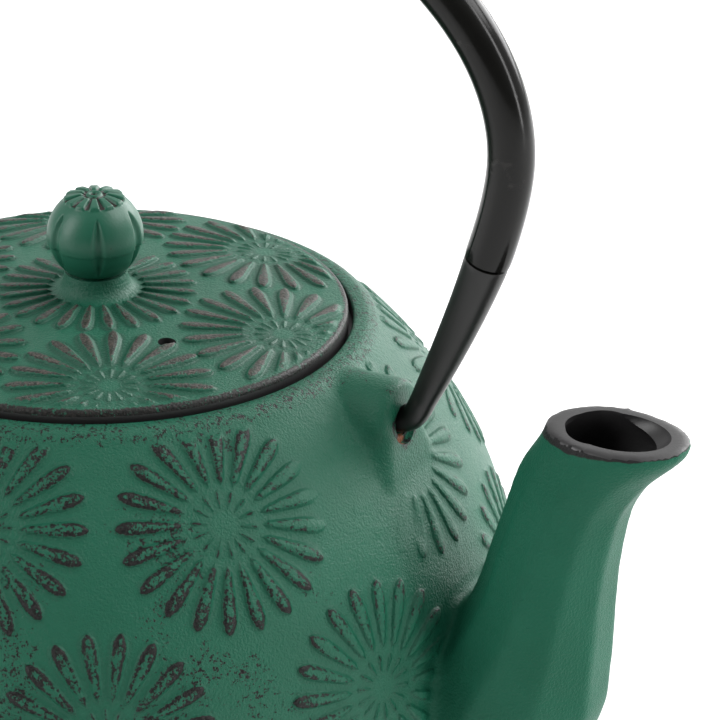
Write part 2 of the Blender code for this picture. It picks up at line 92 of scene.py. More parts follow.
# Spout sections from the mouth down: share of the way up from the belly to the rim, how far the
# middle stands out from the belly, half depth along X, half width along Y, and how flat the ten
# faces between its ridges are.
SPOUT = (
    (0.977, 0.0286, 0.0138, 0.0104, 0.0),
    (0.930, 0.0275, 0.0137, 0.0106, 0.1),
    (0.840, 0.0231, 0.0126, 0.0109, 0.6),
    (0.760, 0.0205, 0.0117, 0.0112, 1.0),
    (0.685, 0.0188, 0.0113, 0.0117, 1.1),
    (0.540, 0.0165, 0.0117, 0.0129, 1.1),
    (0.400, 0.0147, 0.0124, 0.0142, 1.1),
    (0.255, 0.0121, 0.0145, 0.0153, 1.1),
    (0.110, 0.0083, 0.0177, 0.0160, 1.0),
    (-0.030, 0.0045, 0.0206, 0.0160, 0.7),
    (-0.190, 0.0000, 0.0205, 0.0150, 0.3),
    (-0.330, -0.0060, 0.0175, 0.0120, 0.0),
    (-0.440, -0.0120, 0.0130, 0.0080, 0.0),
)
SPOUT_FACES = 10
SPOUT_WALL = 0.0030
SPOUT_TILT = -0.0005
BORE_SETBACK = 0.0010
BORE_EASE = 4                 # sections over which the bore narrows below the scoop
SCOOP_LENGTH = 0.0085
SCOOP_REACH = 0.0105
SCOOP_DROP = 0.0050
SCOOP_ABOVE = 0.0002
SCOOP_TURN = math.radians(-7)
BAND_START = 0.0948           # the black band round the mouth: its back, height there, and slope
BAND_HEIGHT = 0.1049
BAND_SLOPE = 0.03
BORE_SECTIONS = 10

# --- the relief ----------------------------------------------------------------------------------
# A ring of petals: count, inner and outer radius, half width at the root and at the tip.
BODY_PETALS = (20, 0.0070, 0.0202, 0.0007, 0.0023)
BODY_FLORETS = (14, 0.0028, 0.0064, 0.0003, 0.0008)
LID_PETALS = (20, 0.0062, 0.0196, 0.0006, 0.0022)
LID_FLORETS = (14, 0.0024, 0.0056, 0.0003, 0.0008)
HUB_PETALS = (24, 0.0080, 0.0190, 0.0008, 0.0019)
PETAL_RISE = 0.00050
PETAL_EDGE = 0.0009
ROWS = ((0.0930, 0.0), (0.0590, 0.5), (0.0240, 0.0))   # height of a row of flowers, and its stagger
FLOWERS_PER_ROW = 9
FLOWER_CELL = 0.040           # one side of the square that a flower's offsets are mapped to

# Dark and pale tones of the enamel and of the iron that shows through it.
GREEN = ((0.005, 0.066, 0.036, 1), (0.011, 0.098, 0.058, 1))
DARK_IRON = ((0.002, 0.002, 0.002, 1), (0.012, 0.011, 0.010, 1))
PALE_IRON = ((0.007, 0.011, 0.008, 1), (0.062, 0.053, 0.044, 1))

# --- modelling helpers ---------------------------------------------------------------------------
def deselect():
    if bpy.context.object and bpy.context.object.mode != 'OBJECT':
        bpy.ops.object.mode_set(mode='OBJECT')
    bpy.ops.object.select_all(action='DESELECT')


def make_active(thing):
    deselect()
    thing.select_set(True)
    bpy.context.view_layer.objects.active = thing


def apply_modifier(thing, name, kind, **settings):
    make_active(thing)
    modifier = thing.modifiers.new(name, kind)
    for key, value in settings.items():
        setattr(modifier, key, value)
    bpy.ops.object.modifier_apply(modifier=modifier.name)


def finish(thing, materials, body, node, degrees=50):
    """Materials, soft shading, the body that a piece rides on and the node that it stands for."""
    thing.data.materials.clear()
    for material in materials:
        thing.data.materials.append(material)
    make_active(thing)
    bpy.ops.object.shade_smooth_by_angle(angle=math.radians(degrees))
    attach(thing, body)
    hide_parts(node)


def apply_place(thing):
    make_active(thing)
    bpy.ops.object.transform_apply(location=True, rotation=True, scale=True)


def select_vertices(thing, chosen):
    """Edit mode with just these vertices selected."""
    make_active(thing)
    bpy.ops.object.mode_set(mode='EDIT')
    bpy.ops.mesh.select_mode(type='VERT')
    bpy.ops.mesh.select_all(action='DESELECT')
    bpy.ops.object.mode_set(mode='OBJECT')
    thing.data.vertices.foreach_set("select", chosen)
    bpy.ops.object.mode_set(mode='EDIT')


def revolve(name, outline, steps, ring=False):
    """One vertex is drawn along an outline of (radius, height) points, and the line is spun."""
    deselect()
    bpy.ops.mesh.primitive_plane_add(size=0.001, location=(0, 0, 0))
    thing = bpy.context.object
    thing.name = name
    bpy.ops.object.mode_set(mode='EDIT')
    bpy.ops.mesh.select_all(action='SELECT')
    bpy.ops.mesh.merge(type='CENTER')
    bpy.ops.transform.translate(value=(outline[0][0], 0, outline[0][1]))
    points = list(outline) + ([outline[0]] if ring else [])
    for here, there in zip(points, points[1:]):
        step = (there[0] - here[0], 0, there[1] - here[1])
        bpy.ops.mesh.extrude_region_move(TRANSFORM_OT_translate={"value": step})
    bpy.ops.mesh.select_all(action='SELECT')
    bpy.ops.mesh.spin(steps=steps, angle=math.tau, center=(0, 0, 0), axis=(0, 0, 1))
    bpy.ops.mesh.select_all(action='SELECT')
    bpy.ops.mesh.remove_doubles(threshold=0.000001)
    bpy.ops.mesh.normals_make_consistent(inside=False)
    bpy.ops.object.mode_set(mode='OBJECT')
    return thing


def bezier(start, start_handle, end_handle, end, count):
    corners = [np.array(corner, float) for corner in (start, start_handle, end_handle, end)]
    points = []
    for t in np.linspace(0.0, 1.0, count):
        s = 1.0 - t
        weights = (s ** 3, 3 * s * s * t, 3 * s * t * t, t ** 3)
        points.append(tuple(sum(w * c for w, c in zip(weights, corners))))
    return points


def smooth_rows(rows, parts):
    """A Catmull-Rom curve through rows of numbers, cut into parts between each two."""
    rows = np.array(rows, float)
    padded = np.vstack([2 * rows[0] - rows[1], rows, 2 * rows[-1] - rows[-2]])
    out = []
    for a, b, c, d in zip(padded, padded[1:], padded[2:], padded[3:]):
        for t in np.arange(parts) / parts:
            out.append(0.5 * (2 * b + (c - a) * t + (2 * a - 5 * b + 4 * c - d) * t ** 2
                              + (3 * b - a - 3 * c + d) * t ** 3))
    return out + [rows[-1]]


def loft(name, sections, sides):
    """A closed skin over (centre x, height, half depth, half width, flatness, tilt) sections."""
    bm = bmesh.new()
    angles = np.arange(sides) * math.tau / sides
    half_face = math.pi / SPOUT_FACES
    off_ridge = np.mod(angles - half_face, 2 * half_face) - half_face
    faceted = math.cos(half_face / 2) / np.cos(off_ridge)
    rings = []
    for middle, height, depth, width, flatness, tilt in sections:
        reach = 1 + flatness * (faceted - 1)
        along = reach * np.cos(angles)
        across = reach * np.sin(angles)
        rings.append([bm.verts.new((middle + depth * x, width * y, height + tilt * x))
                      for x, y in zip(along, across)])
    for upper, lower in zip(rings, rings[1:]):
        for k in range(sides):
            after = (k + 1) % sides
            bm.faces.new((upper[k], upper[after], lower[after], lower[k]))
    bm.faces.new(rings[0])
    bm.faces.new(reversed(rings[-1]))
    bmesh.ops.recalc_face_normals(bm, faces=bm.faces)
    mesh = bpy.data.meshes.new(name)
    bm.to_mesh(mesh)
    bm.free()
    thing = bpy.data.objects.new(name, mesh)
    bpy.context.scene.collection.objects.link(thing)
    return thing


def round_bar(name, radius, start, end, sides=48):
    """A round bar from start to end."""
    deselect()
    start = Vector(start)
    end = Vector(end)
    turn = (end - start).to_track_quat('Z', 'Y').to_euler()
    bpy.ops.mesh.primitive_cone_add(vertices=sides, radius1=radius, radius2=radius,
                                    depth=(end - start).length, location=(start + end) / 2,
                                    rotation=turn)
    thing = bpy.context.object
    thing.name = name
    apply_place(thing)
    return thing


def boolean(thing, tools, operation):
    for tool in tools:
        apply_modifier(thing, "cut", 'BOOLEAN', operation=operation, solver='MANIFOLD', object=tool)
        bpy.data.objects.remove(tool, do_unlink=True)


def coordinates(thing):
    co = np.empty(len(thing.data.vertices) * 3)
    thing.data.vertices.foreach_get("co", co)
    return co.reshape(-1, 3)


def face_vectors(thing, kind):
    """The centre or the normal of each face."""
    values = np.empty(len(thing.data.polygons) * 3)
    thing.data.polygons.foreach_get(kind, values)
    return values.reshape(-1, 3)


def add_attribute(thing, name, values):
    layer = thing.data.attributes.new(name, 'FLOAT', 'POINT')
    layer.data.foreach_set("value", values.astype(np.float32))


def weigh(thing, name, weights):
    """A vertex group from one weight for each vertex, in 255 steps."""
    group = thing.vertex_groups.new(name=name)
    steps = np.round(np.clip(weights, 0, 1) * 255).astype(int)
    order = np.argsort(steps, kind='stable')
    edges = np.searchsorted(steps[order], np.arange(257))
    for level in range(1, 256):
        members = order[edges[level]:edges[level + 1]]
        if len(members):
            group.add(members.tolist(), level / 255, 'REPLACE')


def ease(value):
    value = np.clip(value, 0.0, 1.0)
    return value * value * (3 - 2 * value)


# --- the relief's geometry -----------------------------------------------------------------------
def petal_ring(offsets, ring):
    """Height of a ring of teardrop petals, 0 to 1, at (x, y) offsets from the flower's middle."""
    count, inner, outer, root, tip = ring
    radius = np.hypot(offsets[:, 0], offsets[:, 1])
    turn = np.arctan2(offsets[:, 1], offsets[:, 0]) * count / math.tau
    aside = np.abs(np.sin((turn - np.floor(turn) - 0.5) * math.tau / count)) * radius
    along = np.clip((radius - inner) / (outer - inner), 0.0, 1.0)
    width = (root + (tip - root) * along) * np.sqrt(1 - along ** 6) * np.minimum(1.0, along * 8)
    return ease((width - aside) / PETAL_EDGE)


def nearest_flower(points, middles, normals):
    """For each point its nearest flower, and its offset from there along the flower's two axes."""
    gap = np.linalg.norm(points[:, None, :] - middles[None, :, :], axis=2)
    nearest = gap.argmin(axis=1)
    return nearest, flower_offsets(points, middles[nearest], normals[nearest])


def flower_offsets(points, middles, normals):
    """Offsets along the surface: the straight gap, laid down along the flower's own plane."""
    away = points - middles
    flat = away - normals * np.sum(away * normals, axis=1, keepdims=True)
    flat *= (np.linalg.norm(away, axis=1) / np.maximum(np.linalg.norm(flat, axis=1), 1e-9))[:, None]
    up = np.array((0.0, 0.0, 1.0)) + normals * -normals[:, 2:3]
    short = np.linalg.norm(up, axis=1) < 0.2
    up[short] = np.array((0.0, 1.0, 0.0))
    up /= np.linalg.norm(up, axis=1, keepdims=True)
    across = np.cross(up, normals)
    return np.stack((np.sum(flat * across, axis=1), np.sum(flat * up, axis=1)), axis=1)


def map_flowers(thing, middles, normals, on_relief, on_edges):
    """A UV map of each face's offset from its own flower, and the relief's fade as an attribute."""
    mesh = thing.data
    corner_vertex = np.empty(len(mesh.loops), int)
    mesh.loops.foreach_get("vertex_index", corner_vertex)
    totals = np.empty(len(mesh.polygons), int)
    mesh.polygons.foreach_get("loop_total", totals)
    nearest, _ = nearest_flower(face_vectors(thing, "center"), middles, normals)
    corner_face = np.repeat(np.arange(len(totals)), totals)
    flower = nearest[corner_face]
    co = coordinates(thing)
    offsets = flower_offsets(co[corner_vertex], middles[flower], normals[flower])
    layer = mesh.uv_layers.new(name="flowers")
    layer.data.foreach_set("uv", (offsets / FLOWER_CELL + 0.5).astype(np.float32).ravel())
    add_attribute(thing, "relief", on_relief(co))
    add_attribute(thing, "edges", on_edges(co))


def raise_petals(thing, rise, heights):
    weigh(thing, "petals", heights)
    apply_modifier(thing, "petals", 'DISPLACE', strength=rise, mid_level=0.0, vertex_group="petals")
    thing.vertex_groups.clear()


# --- node helpers --------------------------------------------------------------------------------
class Nodes:
    """Short calls for the nodes of one tree."""

    def __init__(self, tree):
        self.tree = tree

    def add(self, kind, inputs=(), **settings):
        node = self.tree.nodes.new(kind)
        for key, value in settings.items():
            setattr(node, key, value)
        for key, value in dict(inputs).items():
            self.feed(node.inputs[key], value)
        return node

    def feed(self, socket, value):
        if isinstance(value, bpy.types.NodeSocket):
            self.tree.links.new(value, socket)
        else:
            socket.default_value = value

    def math(self, operation, a, b=None, clamp=False):
        inputs = {0: a} if b is None else {0: a, 1: b}
        return self.add('ShaderNodeMath', inputs, operation=operation, use_clamp=clamp).outputs[0]

    def times(self, a, b, clamp=False):
        return self.math('MULTIPLY', a, b, clamp)

    def plus(self, a, b):
        return self.math('ADD', a, b)

    def minus(self, a, b):
        return self.math('SUBTRACT', a, b)

    def most(self, a, b):
        return self.math('MAXIMUM', a, b)

    def noise(self, vector, scale, detail=2.0, rough=0.5):
        node = self.add('ShaderNodeTexNoise', {"Vector": vector, "Scale": scale, "Detail": detail,
                                               "Roughness": rough})
        return node.outputs["Fac"]

    def remap(self, value, low, high, to_low=0.0, to_high=1.0):
        node = self.add('ShaderNodeMapRange', {"Value": value, "From Min": low, "From Max": high,
                                               "To Min": to_low, "To Max": to_high},
                        interpolation_type='SMOOTHSTEP')
        return node.outputs["Result"]

    def mix(self, factor, a, b):
        node = self.add('ShaderNodeMix', data_type='RGBA')
        self.feed(node.inputs["Factor"], factor)
        self.feed(node.inputs["A"], a)
        self.feed(node.inputs["B"], b)
        return node.outputs["Result"]

    def bump(self, height, strength, distance, over=None):
        """A normal from a height, on top of another normal where one is given."""
        inputs = {"Height": height, "Strength": strength, "Distance": distance}
        if over is not None:
            inputs["Normal"] = over
        return self.add('ShaderNodeBump', inputs).outputs["Normal"]


def new_group(name, inputs, outputs):
    group = bpy.data.node_groups.new(name, 'ShaderNodeTree')
    for label, kind, value in inputs:
        socket = group.interface.new_socket(label, in_out='INPUT', socket_type=kind)
        if value is not None:
            socket.default_value = value
    for label, kind in outputs:
        group.interface.new_socket(label, in_out='OUTPUT', socket_type=kind)
    nodes = Nodes(group)
    source = group.nodes.new('NodeGroupInput')
    result = group.nodes.new('NodeGroupOutput')
    return group, nodes, source.outputs, result.inputs


def use_group(nodes, group, inputs=()):
    node = nodes.tree.nodes.new('ShaderNodeGroup')
    node.node_tree = group
    for key, value in dict(inputs).items():
        nodes.feed(node.inputs[key], value)
    return node


def petal_group():
    """Mask of one ring of petals at an offset from the flower's middle."""
    names = ("Count", "Inner", "Outer", "Root", "Tip", "Edge")
    group, n, source, result = new_group(
        "petal_ring", [("Offset", 'NodeSocketVector', None)]
        + [(name, 'NodeSocketFloat', 1.0) for name in names],
        [("Mask", 'NodeSocketFloat'), ("Along", 'NodeSocketFloat'), ("Depth", 'NodeSocketFloat')])
    split = n.add('ShaderNodeSeparateXYZ', {0: source["Offset"]})
    x = split.outputs["X"]
    y = split.outputs["Y"]
    radius = n.math('SQRT', n.plus(n.times(x, x), n.times(y, y)))
    pitch = n.math('DIVIDE', math.tau, source["Count"])
    turn = n.math('DIVIDE', n.math('ARCTAN2', y, x), pitch)
    part = n.minus(n.minus(turn, n.math('FLOOR', turn)), 0.5)
    aside = n.times(n.math('ABSOLUTE', n.math('SINE', n.times(part, pitch))), radius)
    span = n.minus(source["Outer"], source["Inner"])
    along = n.math('DIVIDE', n.minus(radius, source["Inner"]), span, clamp=True)
    swell = n.plus(source["Root"], n.times(n.minus(source["Tip"], source["Root"]), along))
    closing = n.math('SQRT', n.minus(1.0, n.math('POWER', along, 6.0)))
    opening = n.times(along, 8.0, clamp=True)
    width = n.times(n.times(swell, closing), opening)
    beyond = n.most(n.minus(radius, source["Outer"]), n.minus(source["Inner"], radius))
    beyond = n.most(beyond, 0.0)
    inset = n.minus(n.minus(width, aside), beyond)
    depth = n.math('DIVIDE', inset, source["Edge"])
    n.feed(result["Mask"], n.remap(depth, 0.0, 1.0))
    n.feed(result["Along"], along)
    n.feed(result["Depth"], depth)
    return group


def grain_group():
    """The sand-cast skin under the enamel: fine grain and shallow unevenness, as a height."""
    group, n, source, result = new_group(
        "cast_grain", [("Vector", 'NodeSocketVector', None), ("Fine", 'NodeSocketFloat', 1.0)],
        [("Height", 'NodeSocketFloat'), ("Cloud", 'NodeSocketFloat')])
    fine = n.noise(source["Vector"], 2100.0, 3.0, 0.6)
    broad = n.noise(source["Vector"], 320.0, 3.0, 0.55)
    cloud = n.noise(source["Vector"], 45.0, 4.0, 0.55)
    height = n.plus(n.times(fine, source["Fine"]), n.times(broad, 0.45))
    n.feed(result["Height"], height)
    n.feed(result["Cloud"], cloud)
    return group


def speckle_group():
    """Where enamel is rubbed through: a ragged mask that grows with the rubbing."""
    group, n, source, result = new_group(
        "rubbed_through", [("Vector", 'NodeSocketVector', None), ("Rubbing", 'NodeSocketFloat', 0.5)],
        [("Mask", 'NodeSocketFloat'), ("Tone", 'NodeSocketFloat')])
    coarse = n.noise(source["Vector"], 760.0, 3.0, 0.60)
    fine = n.noise(source["Vector"], 2000.0, 3.0, 0.65)
    ragged = n.plus(n.times(coarse, 0.45), n.times(fine, 0.55))
    threshold = n.minus(0.68, n.times(source["Rubbing"], 0.36))
    n.feed(result["Mask"], n.remap(n.minus(ragged, threshold), -0.010, 0.030))
    n.feed(result["Tone"], n.noise(source["Vector"], 2200.0, 2.0, 0.6))
    return group


def band_group():
    """Where the black coat laps over the spout's mouth, down to a nearly level line, and where the
    enamel under the front pin hole is chipped."""
    group, n, source, result = new_group(
        "mouth_band", [("Vector", 'NodeSocketVector', None)],
        [("Band", 'NodeSocketFloat'), ("Chip", 'NodeSocketFloat')])
    place = source["Vector"]
    split = n.add('ShaderNodeSeparateXYZ', {0: place})
    reach = n.minus(split.outputs["X"], BAND_START)
    line = n.plus(n.times(reach, BAND_SLOPE), BAND_HEIGHT)
    waver = n.times(n.minus(n.noise(place, 260.0), 0.5), 0.0012)
    above = n.minus(n.plus(split.outputs["Z"], waver), line)
    n.feed(result["Band"], n.times(n.remap(above, 0.0, 0.00025), n.remap(reach, -0.004, -0.003)))
    gap = n.add('ShaderNodeVectorMath', {0: place, 1: (EAR_REACH, -0.0012, PIVOT_Z - PIN_HOLE_R)},
                operation='DISTANCE').outputs["Value"]
    ragged = n.times(n.noise(place, 900.0), 0.0022)
    n.feed(result["Chip"], n.remap(n.minus(gap, ragged), 0.0001, 0.0005, 1.0, 0.0))
    return group


PETAL_RING = petal_group()
CAST_GRAIN = grain_group()
RUBBED = speckle_group()
MOUTH_BAND = band_group()


def new_material(name, metallic, roughness):
    material = bpy.data.materials.new(name)
    material.use_nodes = True
    shader = material.node_tree.nodes["Principled BSDF"]
    shader.inputs["Metallic"].default_value = metallic
    shader.inputs["Roughness"].default_value = roughness
    nodes = Nodes(material.node_tree)
    place = nodes.add('ShaderNodeTexCoord').outputs["Object"]
    return material, nodes, shader, place


def enamel(name, rings, green, iron, wear, low_edge, shade, gloss):
    """Green enamel over cast iron. rings are its petals. green and iron are each a dark and a pale
    tone, wear is the rubbing of petal edges, petal tops, petal tips, edges and open ground,
    low_edge is how far the tops are spared inside their outline, as a share of the edge's width,
    shade is how dark the painted shade in the valleys round the petals is, and gloss how much it shines."""
    material, n, shader, place = new_material(name, 0.0, 0.5)
    grain = use_group(n, CAST_GRAIN, {"Vector": place, "Fine": 0.9})
    uv = n.add('ShaderNodeUVMap', uv_map="flowers").outputs["UV"]
    centred = n.add('ShaderNodeVectorMath', {0: uv, 1: (0.5, 0.5, 0.0)}, operation='SUBTRACT')
    offset = n.add('ShaderNodeVectorMath', {0: centred.outputs[0]}, operation='SCALE')
    offset.inputs["Scale"].default_value = FLOWER_CELL
    fade = n.add('ShaderNodeAttribute', attribute_name="relief").outputs["Fac"]
    edges = n.add('ShaderNodeAttribute', attribute_name="edges").outputs["Fac"]
    petals = 0.0
    depth = -4.0
    tips = 0.0
    for count, inner, outer, root, tip in rings:
        ring = use_group(n, PETAL_RING, {"Offset": offset.outputs[0], "Count": float(count),
                                         "Inner": inner, "Outer": outer, "Root": root, "Tip": tip,
                                         "Edge": PETAL_EDGE * 0.8})
        petals = n.most(petals, ring.outputs["Mask"])
        depth = n.most(depth, ring.outputs["Depth"])
        tips = n.most(tips, n.times(ring.outputs["Mask"], ring.outputs["Along"]))
    petals = n.times(petals, fade)
    tips = n.times(n.math('POWER', tips, 2.0), fade)
    top = n.times(n.remap(depth, low_edge, low_edge + 0.7), fade)
    rim = n.times(top, n.remap(depth, 1.0, 1.9, 1.0, 0.0))
    valley = n.times(n.remap(n.math('ABSOLUTE', n.plus(depth, 0.3)), 0.0, 1.2, 1.0, 0.0), fade)
    patchy = n.remap(grain.outputs["Cloud"], 0.36, 0.64, 0.86, 1.10)
    rubbing = n.times(rim, wear[0])
    rubbing = n.plus(rubbing, n.times(top, wear[1]))
    rubbing = n.plus(rubbing, n.times(n.times(tips, top), wear[2]))
    ground = n.times(n.remap(grain.outputs["Cloud"], 0.44, 0.62), wear[4])
    rubbing = n.most(n.times(rubbing, patchy), n.times(ground, fade))
    rubbing = n.plus(rubbing, n.times(edges, wear[3]))
    patches = use_group(n, RUBBED, {"Vector": place, "Rubbing": rubbing})
    shown = patches.outputs["Mask"]
    colour = n.mix(grain.outputs["Cloud"], green[0], green[1])
    # Painted shade: the valleys round the petals are darkened towards a deep green, as if in shade; the
    # enamel pools there as well.
    valley_shade_colour = tuple(0.42 * c for c in green[0][:3]) + (1,)
    colour = n.mix(n.times(valley, shade), colour, valley_shade_colour)
    bare = n.mix(n.remap(patches.outputs["Tone"], 0.40, 0.62), iron[0], iron[1])
    bare = n.mix(n.times(edges, 0.8), bare, DARK_IRON[0])
    n.feed(shader.inputs["Base Color"], n.mix(shown, colour, bare))
    n.feed(shader.inputs["Roughness"], n.remap(shown, 0.0, 1.0, 0.42, 0.38))
    shader.inputs["Specular IOR Level"].default_value = gloss
    relief = n.bump(petals, 1.0, 0.00042)
    pits = n.minus(grain.outputs["Height"], n.times(shown, 0.30))
    n.feed(shader.inputs["Normal"], n.bump(pits, 1.0, 0.00028, relief))
    return material, n, shader


def black_band(material, n, shader):
    """The enamel with the black coat over the spout's mouth, and with the chip rusted."""
    place = n.add('ShaderNodeTexCoord').outputs["Object"]
    marks = use_group(n, MOUTH_BAND, {"Vector": place})
    colour = shader.inputs["Base Color"].links[0].from_socket
    colour = n.mix(marks.outputs["Band"], colour, (0.016, 0.016, 0.016, 1))
    n.feed(shader.inputs["Base Color"], n.mix(marks.outputs["Chip"], colour, (0.20, 0.065, 0.024, 1)))
    return material


def plain_enamel(name, low, high):
    """Green enamel without flowers, as on the knob, with painted shade, dark brown, in its hollows."""
    material, n, shader, place = new_material(name, 0.0, 0.40)
    shader.inputs["Specular IOR Level"].default_value = 0.38
    grain = use_group(n, CAST_GRAIN, {"Vector": place, "Fine": 0.3})
    hollows = n.add('ShaderNodeAttribute', attribute_name="hollows").outputs["Fac"]
    patches = use_group(n, RUBBED, {"Vector": place, "Rubbing": n.times(hollows, 0.9)})
    colour = n.mix(grain.outputs["Cloud"], low, high)
    # Painted shade: the rosette's hollows are darkened to dark brown through the rubbed-through speckle
    # mask.
    n.feed(shader.inputs["Base Color"], n.mix(patches.outputs["Mask"], colour, (0.010, 0.006, 0.004, 1)))
    n.feed(shader.inputs["Normal"], n.bump(grain.outputs["Height"], 0.6, 0.00018))
    return material


def black_enamel():
    """The thin black coat inside the pot, in the spout and on its rim."""
    material, n, shader, place = new_material("black_inside", 0.0, 0.42)
    grain = use_group(n, CAST_GRAIN, {"Vector": place, "Fine": 0.5})
    colour = n.mix(grain.outputs["Cloud"], (0.010, 0.010, 0.010, 1), (0.024, 0.023, 0.024, 1))
    n.feed(shader.inputs["Base Color"], colour)
    n.feed(shader.inputs["Normal"], n.bump(grain.outputs["Height"], 0.4, 0.00015))
    return material


def black_paint(name, roughness, gloss, grain_share):
    """Semi-gloss black paint with faint orange peel and small knocks."""
    material, n, shader, place = new_material(name, 0.0, roughness)
    shader.inputs["Specular IOR Level"].default_value = gloss
    grain = use_group(n, CAST_GRAIN, {"Vector": place, "Fine": grain_share})
    knocks = n.remap(n.noise(place, 130.0, 3.0, 0.6), 0.63, 0.72)
    base = n.mix(grain.outputs["Cloud"], (0.003, 0.003, 0.003, 1), (0.006, 0.006, 0.005, 1))
    n.feed(shader.inputs["Base Color"], n.mix(knocks, base, (0.016, 0.015, 0.014, 1)))
    n.feed(shader.inputs["Roughness"], n.remap(grain.outputs["Cloud"], 0.3, 0.7, roughness - 0.05,
                                               roughness + 0.08))
    height = n.minus(grain.outputs["Height"], n.times(knocks, 0.6))
    n.feed(shader.inputs["Normal"], n.bump(height, 0.3, 0.0001))
    return material


def steel(name, base, roughness, brushing):
    """Bright sheet or wire with fine brushing round the upright axis."""
    material, n, shader, place = new_material(name, 1.0, roughness)
    stretched = n.add('ShaderNodeMapping', {"Vector": place, "Scale": brushing})
    lines = n.noise(stretched.outputs[0], 1.0, 3.0, 0.6)
    tone = n.mix(lines, tuple(0.82 * c for c in base) + (1,), base + (1,))
    n.feed(shader.inputs["Base Color"], tone)
    n.feed(shader.inputs["Roughness"], n.remap(lines, 0.3, 0.7, roughness - 0.06, roughness + 0.08))
    n.feed(shader.inputs["Normal"], n.bump(lines, 0.12, 0.00005))
    return material


ROUND_BRUSHING = (300.0, 300.0, 4000.0)
BODY_WEAR = (0.26, 0.28, 0.42, 0.62, 0.40)
BODY_ENAMEL = black_band(*enamel("green_enamel_body", (BODY_PETALS, BODY_FLORETS), GREEN, DARK_IRON,
                                 BODY_WEAR, 0.1, 0.16, 0.22))
SPOUT_ENAMEL = black_band(*enamel("green_enamel_spout", (BODY_PETALS, BODY_FLORETS), GREEN, DARK_IRON,
                                  BODY_WEAR, 0.1, 0.16, 0.11))
LID_ENAMEL = enamel("green_enamel_lid", (LID_PETALS, LID_FLORETS), GREEN, PALE_IRON,
                    (0.0, 0.70, 0.10, 0.75, 0.12), 0.55, 0.45, 0.26)[0]
HUB_ENAMEL = enamel("green_enamel_hub", (HUB_PETALS,), GREEN, PALE_IRON,
                    (0.0, 0.62, 0.14, 0.75, 0.12), 0.55, 0.45, 0.26)[0]
KNOB_ENAMEL = plain_enamel("green_enamel_knob", GREEN[0], GREEN[1])
BLACK_INSIDE = black_enamel()
TUBE_PAINT = black_paint("black_paint_tube", 0.17, 0.20, 0.15)
END_PAINT = black_paint("black_paint_ends", 0.38, 0.36, 0.4)
BASKET_STEEL = steel("basket_steel", (0.62, 0.62, 0.60), 0.28, ROUND_BRUSHING)
RIVET_ZINC = steel("rivet_zinc", (0.48, 0.48, 0.47), 0.42, (900.0, 900.0, 900.0))


# --- the pot -------------------------------------------------------------------------------------
def outer_outline(per_curve=40):
    """The casting's outside, from the rim's corner over the belly to the edge of the base."""
    rim = (RIM_R, RIM_Z - RIM_DROP)
    fall = 0.6 * (BELLY_R - RIM_R) * math.sin(math.radians(45))
    swell = 0.49 * (RIM_Z - BELLY_Z - RIM_DROP)
    shoulder = bezier(rim, (rim[0] + fall, rim[1] - fall), (BELLY_R, BELLY_Z + swell),
                      (BELLY_R, BELLY_Z), per_curve)
    edge = (BASE_R + BASE_EDGE, BASE_EDGE)
    run = (BELLY_R - edge[0]) * 0.55
    drop = (BELLY_Z - edge[1]) * 0.52
    foot = bezier((BELLY_R, BELLY_Z), (BELLY_R, BELLY_Z - drop), (edge[0] + run, edge[1] + 0.45 * run),
                  edge, per_curve)
    corner = bezier(edge, (BASE_R + 0.5 * BASE_EDGE, 0.4 * BASE_EDGE),
                    (BASE_R + 0.2 * BASE_EDGE, 0.0), (BASE_R, 0.0), 5)
    return shoulder + foot[1:] + corner[1:]


OUTSIDE = np.array(outer_outline())


def body_radius(z):
    return np.interp(z, OUTSIDE[::-1, 1], OUTSIDE[::-1, 0])


def cavity_outline():
    slope = np.gradient(OUTSIDE, axis=0)
    inward = np.stack((slope[:, 1], -slope[:, 0]), axis=1) / np.hypot(*slope.T)[:, None]
    moved = OUTSIDE + inward * WALL
    ledge = RIM_Z - MOUTH_DEPTH
    seat = ledge - FLANGE_SEAT_DEPTH
    throat = seat - THROAT_LENGTH
    inner = [tuple(p) for p in moved[::3] if WALL * 1.3 < p[1] < throat - WALL]
    return [(0.0, RIM_Z + WALL), (MOUTH_R + 0.0008, RIM_Z + WALL), (MOUTH_R + 0.0008, RIM_Z + 0.0004),
            (MOUTH_R, RIM_Z - 0.0004), (MOUTH_R, ledge), (FLANGE_SEAT_R, ledge),
            (FLANGE_SEAT_R, seat), (THROAT_R, seat), (THROAT_R, throat)] + inner + [
            (inner[-1][0] - WALL, WALL), (0.0, WALL)]


def spout_sections(wall, rows, parts):
    out = []
    for share, reach, depth, width, flatness in smooth_rows(SPOUT[:rows], parts):
        height = BELLY_Z + share * (RIM_Z - BELLY_Z)
        tilt = SPOUT_TILT * max(0.0, min(1.0, (share - 0.7) / 0.277))
        out.append((BELLY_R + reach, height, depth - wall, width - wall, flatness, tilt))
    return out


def bore():
    rings = spout_sections(SPOUT_WALL, BORE_SECTIONS, 3)
    outlet = []
    for k, (middle, height, depth, width, flatness, tilt) in enumerate(rings[:BORE_EASE]):
        share = 1 - k / BORE_EASE
        back = middle - depth + BORE_SETBACK * share
        front = middle + depth - (SCOOP_LENGTH * share if k else SCOOP_LENGTH)
        outlet.append(((back + front) / 2, height, (front - back) / 2, width, flatness, tilt))
    middle, height, depth, width, flatness, tilt = outlet[0]
    above = (middle, height + SPOUT_WALL, depth + SPOUT_WALL / 3, width + SPOUT_WALL / 3, flatness,
             tilt)
    inlet = rings[-1]
    end = (inlet[0] - inlet[2], inlet[1] - SPOUT_WALL, inlet[2] / 2, inlet[3] / 2, 0.0, 0.0)
    return loft("bore_cutter", [above] + outlet + rings[BORE_EASE:] + [end], 64)


